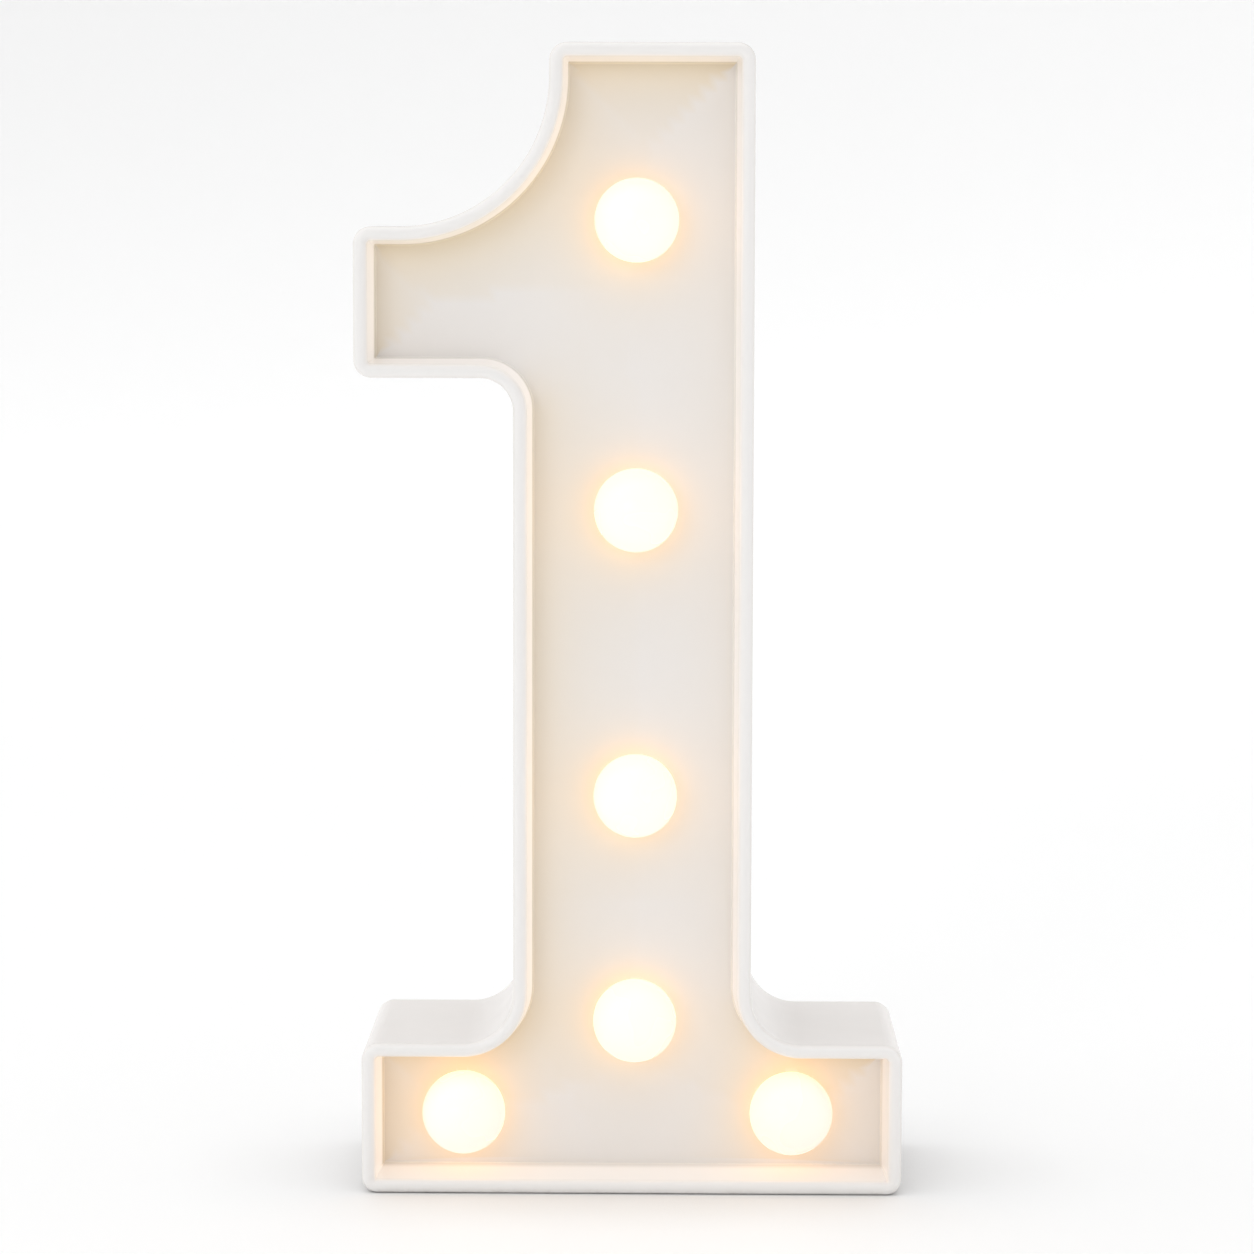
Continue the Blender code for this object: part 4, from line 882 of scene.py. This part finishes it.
def back_cover():
    """Outline plate with a rounded edge, joined to battery box and screw cups, then cut by lipped cutters."""
    edge = [(COVER_INSET + EDGE_ROUND, COVER_FRONT), (COVER_INSET, COVER_FRONT + EDGE_ROUND)]
    edge += [(COVER_INSET + inset, y) for inset, y in rounded(EDGE_ROUND, BACK)]
    cover = block("back_cover_moulding", [capped(edge, outline)])
    inner = COVER_FRONT + OVERRUN
    well = box_loop(WELL[0] + WELL_WALL, WELL[1] - WELL_WALL, WELL[2] + WELL_WALL, OUTER_CORNER)
    tub = box_loop(TUB[0] + TUB_WALL, TUB[1] - TUB_WALL, TUB[2] + TUB_WALL, OUTER_CORNER)
    pad = box_loop(PAD_HALF[0], SWITCH_Z - PAD_HALF[1], SWITCH_Z + PAD_HALF[1], OUTER_CORNER / 2)
    cup = [(CUP_RADIUS - EDGE_ROUND, CUP_FRONT), (CUP_RADIUS, CUP_FRONT + EDGE_ROUND), (CUP_RADIUS, inner)]
    add(cover, "well", capped([(0.0, WELL_FRONT), (0.0, inner)], well))
    tub_run = [(-EDGE_ROUND, TUB_FRONT), (0.0, TUB_FRONT + EDGE_ROUND), (0.0, WELL_FRONT + OVERRUN)]
    add(cover, "tub", capped(tub_run, tub))
    cups = [capped(cup, round_loop(x, z, 32)) for x, z in SCREW_PLACES]
    add(cover, "cups", *cups, capped([(0.0, PAD_FRONT), (0.0, inner)], pad))
    well_cut = box_loop(*WELL, WELL_CORNER)
    tub_cut = box_loop(*TUB, TUB_CORNER)
    cut(cover, "well_cut", capped(cut_profile(WELL_BACK, BACK), well_cut))
    cut(cover, "tub_cut", capped(cut_profile(TUB_BACK, WELL_BACK), tub_cut))
    toe = TOE_WIDTH / 2 + GAP
    toe_top = WELL[2] - GAP + TOE_LENGTH + GAP
    toe_run = [(0.0, TOE_FRONT - TOE_SWING), (0.0, COVER_FRONT)]
    toes = [capped(toe_run, box_loop(toe, TUB[2] - OVERRUN, toe_top, TOE_CORNER, x)) for x in (-TOE_X, TOE_X)]
    bay = capped([(0.0, WELL_FRONT - OVERRUN), (0.0, BACK + OVERRUN)],
                 box_loop(BAY_HALF_WIDTH, WELL[1] + BAY_START, WELL[1] + LATCH_BAY, SLOT_CORNER))
    cut(cover, "bay_cuts", *toes, bay)
    bore = [(HEAD_RADIUS + GAP + out, y) for out, y in cut_profile(CUP_BACK, BACK)]
    cut(cover, "head_cuts", *[capped(bore, round_loop(x, z, 40)) for x, z in SCREW_PLACES])
    shank = [(PILOT_RADIUS, CUP_FRONT - OVERRUN), (PILOT_RADIUS, CUP_BACK + OVERRUN / 2)]
    cut(cover, "shank_cuts", *[capped(shank, round_loop(x, z, 32)) for x, z in SCREW_PLACES])
    dish = box_loop(SLOT_HALF[0] + DISH_MARGIN, SWITCH_Z - SLOT_HALF[1] - DISH_MARGIN,
                    SWITCH_Z + SLOT_HALF[1] + DISH_MARGIN, OUTER_CORNER)
    slot = box_loop(SLOT_HALF[0], SWITCH_Z - SLOT_HALF[1], SWITCH_Z + SLOT_HALF[1], SLOT_CORNER)
    cut(cover, "dish_cut", capped(cut_profile(BACK - DISH_DEPTH, BACK), dish))
    cut(cover, "slot_cuts", capped([(0.0, PAD_FRONT - OVERRUN), (0.0, BACK + OVERRUN)], slot),
        capped(cut_profile(COVER_FRONT - OVERRUN, BACK), keyhole_loop))
    for word, x in WORDS:
        combined(cover, flat_word(word, x, SWITCH_Z), "DIFFERENCE")
    return remade("back_cover_moulding", cover, FINISHES["cover_plastic"])


def globe(number, x, z):
    """Outer sphere, neck and snap ring, then the inside, turned about the lamp's own axis."""
    seat = NECK_RADIUS + GAP
    centre = GAP + math.sqrt(GLOBE_RADIUS**2 - seat**2)
    inner = GLOBE_RADIUS - GLOBE_WALL
    bore = NECK_RADIUS - NECK_WALL
    panel = PANEL_BACK - PANEL_FRONT
    snap, tail = -(panel + GAP), -(panel + NECK_TAIL)
    outer = arc(centre, GLOBE_RADIUS, 0.0, math.pi - math.asin(NECK_RADIUS / GLOBE_RADIUS), GLOBE_RINGS)
    inside_arc = arc(centre, inner, math.pi - math.asin(bore / inner), 0.0, GLOBE_RINGS // 2)
    ring = [(NECK_RADIUS, snap), (NECK_RADIUS + SNAP_HEIGHT, snap), (NECK_RADIUS, snap - SNAP_LENGTH),
            (NECK_RADIUS, tail), (bore, tail)]
    profile = np.concatenate([outer, ring, inside_arc])
    sheet = turned(profile, GLOBE_STEPS, (x, PANEL_FRONT, z), (0, -1, 0), (1, 0, 0))
    return joined(f"globe_cover_{number}", [sheet], FINISHES["milky_globe"],
                  weighted=False, sharp=math.radians(50))


def screw_head():
    """Height of a pan head over radius and angle: a dome, less a cross recess that shelves to its point."""
    radius = np.linspace(0.0, 1.0, 34)[:, None]
    angle = np.linspace(0.0, 2 * math.pi, 96, endpoint=False)[None, :]
    reach = HEAD_RADIUS * radius
    dome = HEAD_HEIGHT * (0.62 + 0.38 * np.sqrt(np.clip(1 - radius**3, 0.0, 1.0)))
    u, v = np.abs(reach * np.cos(angle)), np.abs(reach * np.sin(angle))
    along, across = np.maximum(u, v), np.minimum(u, v)
    wing = CROSS_HALF_WIDTH * (1 - 0.35 * along / HEAD_RADIUS)
    in_wing = np.clip((wing - across) / 0.00009 + 0.5, 0.0, 1.0)
    in_reach = np.clip((CROSS_REACH - along) / 0.00012 + 0.5, 0.0, 1.0)
    shelf = CROSS_DEPTH * (1 - 0.2 * along / CROSS_REACH)
    hub = np.clip((CROSS_HUB - reach) / 0.0001 + 0.5, 0.0, 1.0)
    height = dome - shelf * np.maximum(in_wing * in_reach, hub * np.ones_like(angle))
    return reach * np.ones_like(angle), np.maximum(height, 0.00035), angle


def cover_screw(number, x, z):
    """Domed head with a cross recess, then a shank whose radius rises and falls along a helix."""
    reach, height, angle = screw_head()
    rise, run = np.array((0.0, 1.0, 0.0)), np.array((1.0, 0.0, 0.0))
    side = np.array((0.0, 0.0, 1.0))
    seat = np.array((x, HEAD_SEAT, z))
    phase = number * 0.7
    spread = np.cos(angle + phase)[..., None] * run + np.sin(angle + phase)[..., None] * side
    top = seat + reach[..., None] * spread + height[..., None] * rise
    below = np.array([(HEAD_RADIUS, 0.00045), (HEAD_RADIUS - 0.0001, 0.0001), (HEAD_RADIUS - 0.0004, 0.0),
                      (SCREW_RADIUS * 0.8, 0.0)])
    under = seat + below[:, None, :1] * spread + below[:, None, 1:] * rise
    deep = np.linspace(0.0, 1.0, 150)[:, None]
    crest, root = SCREW_RADIUS + THREAD_HEIGHT, SCREW_RADIUS * 0.78
    turn = (deep * SCREW_LENGTH / THREAD_PITCH - angle / (2 * math.pi)) % 1.0
    ridge = np.clip(1 - np.abs(turn - 0.5) * 5, 0.0, 1.0)
    taper = np.clip((1 - deep) * 6, 0.0, 1.0)
    radius = (root + (crest - root) * ridge * np.clip((deep - 0.06) * 30, 0.0, 1.0)) * taper
    shank = seat + radius[..., None] * spread - (deep * SCREW_LENGTH)[..., None] * rise
    points = np.concatenate([top, under, shank])
    sheet = grid(points)
    return joined(f"cover_screw_turned_{number}", [sheet], FINISHES["zinc_screw"], weighted=False)


def softened(name, node, material, width, segments=2):
    """A copy of a CAD node's mesh, merged, its flat faces joined and its edges rounded."""
    source = frame["nodes"][node]
    data = source.data.copy()
    data.transform(source.matrix_world)
    data.materials.clear()
    bm = bmesh.new()
    bm.from_mesh(data)
    bmesh.ops.remove_doubles(bm, verts=bm.verts, dist=WELD)
    bmesh.ops.dissolve_limit(bm, angle_limit=math.radians(1), verts=bm.verts, edges=bm.edges)
    bm.to_mesh(data)
    bm.free()
    data.shade_smooth()
    data.set_sharp_from_angle(angle=SHARP)
    data.materials.append(material)
    piece = placed(name, data)
    bevel = piece.modifiers.new("round_edges", "BEVEL")
    bevel.width = width
    bevel.segments = segments
    bevel.limit_method = "ANGLE"
    bevel.angle_limit = SHARP
    bevel.harden_normals = True
    return piece


def arrow_loop(half_width, top, length, corner):
    """A triangle that points down, with round corners, as a function of how far it is moved outwards."""
    spots = np.array(((half_width, top), (-half_width, top), (0.0, top - length)))
    before, after = edge_ways(spots)
    bend = np.arctan2(before[:, 0] * after[:, 1] - before[:, 1] * after[:, 0], (before * after).sum(axis=1))
    bisector = after - before
    bisector /= np.linalg.norm(bisector, axis=1, keepdims=True)
    centres = spots + bisector * (corner / np.cos(bend / 2))[:, None]
    facing = np.arctan2(-before[:, 0], before[:, 1])
    angle = facing[:, None] + bend[:, None] * np.linspace(0.0, 1.0, 7)
    spread = np.stack([np.cos(angle), np.sin(angle)], axis=-1).reshape(-1, 2)
    centres = np.repeat(centres, 7, axis=0)
    return lambda outs: centres + (corner + np.asarray(outs, float))[:, None, None] * spread


def battery_door():
    """The lid with rounded edges, its grip grooves and arrow cut by lipped cutters above its tongue."""
    lid = softened("battery_door_lid", "battery_door", FINISHES["cover_plastic"], DOOR_ROUND, 3)
    lip = cut_profile(BACK - GRIP_DEPTH, BACK)
    grooves = [
        capped(lip, box_loop(GRIP_HALF_WIDTH, z - GRIP_HALF_HEIGHT, z + GRIP_HALF_HEIGHT, GRIP_HALF_HEIGHT))
        for z in GRIP_LOW + GRIP_PITCH * np.arange(GRIP_COUNT)
    ]
    arrow = capped(lip, arrow_loop(ARROW_HALF_WIDTH, ARROW_TOP, ARROW_LENGTH, ARROW_CORNER))
    cut(lid, "door_cuts", *grooves, arrow)
    return remade("battery_door_lid", lid, FINISHES["cover_plastic"])


def cell(number, x, foot, nub):
    """An AA cell turned about its axis: flat end, wrapped can with a light band, crimped shoulder and nub."""
    up = (0, 0, 1 if nub > foot else -1)
    edge, body, wrapped_body = 0.0006, CELL_RADIUS, CELL_RADIUS - CELL_WRAP
    shoulder, end = CELL_RADIUS - CELL_SHOULDER, CELL_LENGTH - CELL_NUB
    light_foot = end - CELL_BAND
    foot_ring = [(0.0, 0.0), (body * 0.72, 0.0), (body * 0.76, 0.00015), (body - edge, 0.00015),
                 (body, edge), (body, CELL_SHOULDER)]
    wrap = [(body, CELL_SHOULDER), (wrapped_body, CELL_SHOULDER + CELL_WRAP), (wrapped_body, light_foot)]
    light = [(wrapped_body, light_foot), (wrapped_body, end - 0.0008), (body - 0.0004, end - 0.0002),
             (shoulder, end)]
    cap = [(shoulder, end), (0.0034, end - 0.0002), (0.0030, end), (0.0027, end + 0.0001),
           (0.0026, end + 0.0011), (0.0023, end + CELL_NUB), (0.0, end + CELL_NUB)]
    sheets = [turned(part, 64, (x, CELL_Y, foot), up, (1, 0, 0)) for part in (foot_ring, wrap, light, cap)]
    piece = joined(f"cell_{number}", sheets, FINISHES["plated_steel"], weighted=False)
    for finish in ("cell_wrap", "cell_band"):
        piece.data.materials.append(FINISHES[finish])
    middles = np.array([tuple(polygon.center) for polygon in piece.data.polygons])
    height = np.abs(middles[:, 2] - foot)
    reach = np.hypot(middles[:, 0] - x, middles[:, 1] - CELL_Y)
    wrapped = (height > CELL_SHOULDER) & (reach > shoulder - 0.0001) & (height < end + CELL_WRAP)
    index = np.where(wrapped, np.where(height > light_foot, 2, 1), 0)
    piece.data.polygons.foreach_set("material_index", index.astype(np.int32))
    return piece


def coil(x, foot, hangs):
    """A wire carried along a conical helix whose radius and height change evenly, closed at both ends."""
    share = np.linspace(0.0, 1.0, 36 * COIL_TURNS + 1)
    turn = 2 * math.pi * COIL_TURNS * share
    reach = COIL_FOOT + (COIL_TOP - COIL_FOOT) * share
    path = np.stack([reach * np.cos(turn), reach * np.sin(turn), COIL_LENGTH * share], axis=1)
    along = np.gradient(path, axis=0)
    side = np.cross(along, np.stack([np.cos(turn), np.sin(turn), np.zeros_like(turn)], axis=1))
    out = np.cross(side, along)
    side /= np.linalg.norm(side, axis=1, keepdims=True)
    out /= np.linalg.norm(out, axis=1, keepdims=True)
    ring = np.linspace(0.0, 2 * math.pi, 14, endpoint=False)[:, None]
    spread = np.cos(ring) * out[:, None] + np.sin(ring) * side[:, None]
    middle = np.concatenate([path[:1], path, path[-1:]])[:, None]
    thick = np.concatenate([[0.0], np.full(len(path), COIL_WIRE), [0.0]])[:, None, None]
    points = middle + thick * np.concatenate([spread[:1], spread, spread[-1:]])
    flip = -1 if hangs else 1
    return grid(points * (1, flip, flip) + (x, CELL_Y, foot))


def contact(node, tab=None, spring=None):
    """A plate with rounded edges over the box of its CAD node, with a solder tab or a coil joined to it."""
    low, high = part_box(node)
    bottom = low[2] if node == "series_contact" else high[2] - CONTACT_SHEET
    middle, half = (low[0] + high[0]) / 2, (high[0] - low[0]) / 2
    front, back = CELL_Y - CONTACT_HALF_DEPTH, CELL_Y + CONTACT_HALF_DEPTH
    ends = [(-CONTACT_EDGE, front), (0.0, front + CONTACT_EDGE),
            (0.0, back - CONTACT_EDGE), (-CONTACT_EDGE, back)]
    sheet = box_loop(half, bottom, bottom + CONTACT_SHEET, LEAST_RADIUS, middle, 3)
    plate = joined(node + "_plate", capped(ends, sheet), FINISHES["plated_steel"], weighted=False)
    if tab is not None:
        thinner = 5 * WELD
        foot, top = bottom + thinner, bottom + CONTACT_SHEET - thinner
        strip = box_loop(TAB_HALF_WIDTH, foot, top, LEAST_RADIUS, tab, 3)
        run = [(-CONTACT_EDGE, low[1]), (0.0, low[1] + CONTACT_EDGE), (0.0, front + OVERRUN)]
        add(plate, node + "_tab", capped(run, strip))
    if spring is not None:
        hangs = tab is not None
        add(plate, node + "_coil", [coil(spring, bottom if hangs else bottom + CONTACT_SHEET, hangs)])
    return remade(node + "_plate", plate, FINISHES["plated_steel"], weighted=False)


def dress(piece, slot, *nodes, body="housing"):
    """Put a piece in the place of its CAD nodes, on its body. The slot is not used."""
    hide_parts(*nodes)
    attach(piece, body)


def build_pieces():
    """Make each piece and dress the part with it."""
    dress(front_shell(), "white_plastic", "front_shell")
    dress(back_cover(), "white_plastic", "back_cover")
    for number, (x, z) in enumerate(LAMP_PLACES, 1):
        dress(globe(number, x, z), "milky_globe", f"globe_{number}")
    for number, (x, z) in enumerate(SCREW_PLACES, 1):
        dress(cover_screw(number, x, z), "zinc_screw", f"cover_screw_{number}")
    dress(battery_door(), "white_plastic", "battery_door", body="battery_door")
    dress(softened("switch_knob_moulding", "switch_knob", FINISHES["knob_plastic"], KNOB_ROUND),
          "knob_plastic", "switch_knob", body="switch_knob")
    dress(softened("switch_frame_pressing", "switch_frame", FINISHES["plated_steel"], FRAME_ROUND),
          "plated_steel", "switch_frame")
    for node, tab, spring in (("positive_contact", CELL_X, None), ("negative_contact", -CELL_X, -CELL_X),
                              ("series_contact", None, CELL_X)):
        dress(contact(node, tab, spring), "plated_steel", node)
    low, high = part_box("battery_1")
    dress(cell(1, -CELL_X, high[2], low[2]), "cell_wrap", "battery_1")
    low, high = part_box("battery_2")
    dress(cell(2, CELL_X, low[2], high[2]), "cell_wrap", "battery_2")


def dress_cad_nodes():
    """Each CAD node that still shows takes the material of its own slot."""
    slots = {part["node"]: part["material_slot"] for part in frame["record"]["subparts"]}
    for name, node in frame["nodes"].items():
        for holder in node.material_slots:
            holder.material = FINISHES[slots[name]]


def stage():
    """A pale round floor, darker where something stands close by a painted contact shadow, that curves up far
    away under a white sky.
    """
    angle = np.linspace(0.0, math.pi / 2, 25)
    curve = np.stack([FLOOR_REACH + FLOOR_CURVE * np.sin(angle), FLOOR_CURVE * (1 - np.cos(angle))], axis=1)
    profile = np.concatenate([[(0.0, 0.0)], curve, [(FLOOR_REACH + FLOOR_CURVE, FLOOR_TOP)]])
    vertices, quads = turned(profile, 96, (0, 0, 0), (0, 0, 1), (1, 0, 0))
    data = bpy.data.meshes.new("floor")
    data.from_pydata(vertices.tolist(), [], quads.tolist())
    data.shade_smooth()
    material, tree, shader = new_material("floor")
    # Painted contact shadow: occlusion darkens the floor's colour near the object.
    open_above = tree.nodes.new("ShaderNodeAmbientOcclusion")
    open_above.samples = 3
    open_above.inputs["Distance"].default_value = FLOOR_CLOSE
    pale = mixed(tree, open_above.outputs["AO"], (*FLOOR_PAINTED_SHADOW, 1.0), (*FLOOR_PALE, 1.0))
    tree.links.new(pale, shader.inputs["Base Color"])
    shader.inputs["Roughness"].default_value = 0.55
    shader.inputs["Specular IOR Level"].default_value = 0.25
    data.materials.append(material)
    floor = placed("floor", data)
    white_sky()


def white_sky():
    """A white sky: its strength is the sum of each way's own strength times the reach that way, squared."""
    world = bpy.data.worlds.new("white_sky")
    world.use_nodes = True
    tree = world.node_tree
    background = tree.nodes["Background"]
    background.inputs["Color"].default_value = (1.0, 1.0, 1.0, 1.0)
    way = split(tree, tree.nodes.new("ShaderNodeTexCoord").outputs["Generated"])
    total = None
    for axis, side, strength in SKY:
        reach = math_node(tree, "MAXIMUM", math_node(tree, "MULTIPLY", way[axis], side), 0.0)
        lobe = math_node(tree, "MULTIPLY", math_node(tree, "POWER", reach, 2.0), strength)
        total = lobe if total is None else math_node(tree, "ADD", total, lobe)
    tree.links.new(total, background.inputs["Strength"])
    bpy.context.scene.world = world


def wide_light(name, azimuth, elevation, strength, spread):
    """A soft light that reaches all evenly, from some degrees round from -Y and some above the floor."""
    light = bpy.data.lights.new(name, "SUN")
    light.energy = strength
    light.angle = math.radians(spread)
    turn, rise = math.radians(azimuth), math.radians(elevation)
    toward = Vector((math.sin(turn) * math.cos(rise), -math.cos(turn) * math.cos(rise), math.sin(rise)))
    placed(name, light).rotation_euler = (-toward).to_track_quat("-Z", "Y").to_euler()


def camera():
    """The photograph's camera: aimed a little down and left, its roll turning the picture clockwise."""
    yaw, pitch, roll = (math.radians(degrees) for degrees in CAMERA_TURN)
    data = bpy.data.cameras.new("photo_camera")
    data.sensor_width = 36.0
    data.lens = CAMERA_FOCUS_PIXELS / PHOTO_PIXELS * data.sensor_width
    data.clip_start, data.clip_end = 0.01, 50.0
    holder = placed("photo_camera", data)
    level = Matrix.Rotation(yaw, 4, "Z") @ Matrix.Rotation(math.pi / 2 - pitch, 4, "X")
    holder.matrix_world = Matrix.Translation(CAMERA_PLACE) @ level @ Matrix.Rotation(roll, 4, "Z")
    bpy.context.scene.camera = holder


def main():
    camera()
    stage()
    wide_light("front_light", *FRONT_LIGHT)
    build_pieces()
    dress_cad_nodes()
    bpy.context.scene.view_settings.view_transform = "Standard"
    bpy.context.scene.view_settings.look = "None"


main()
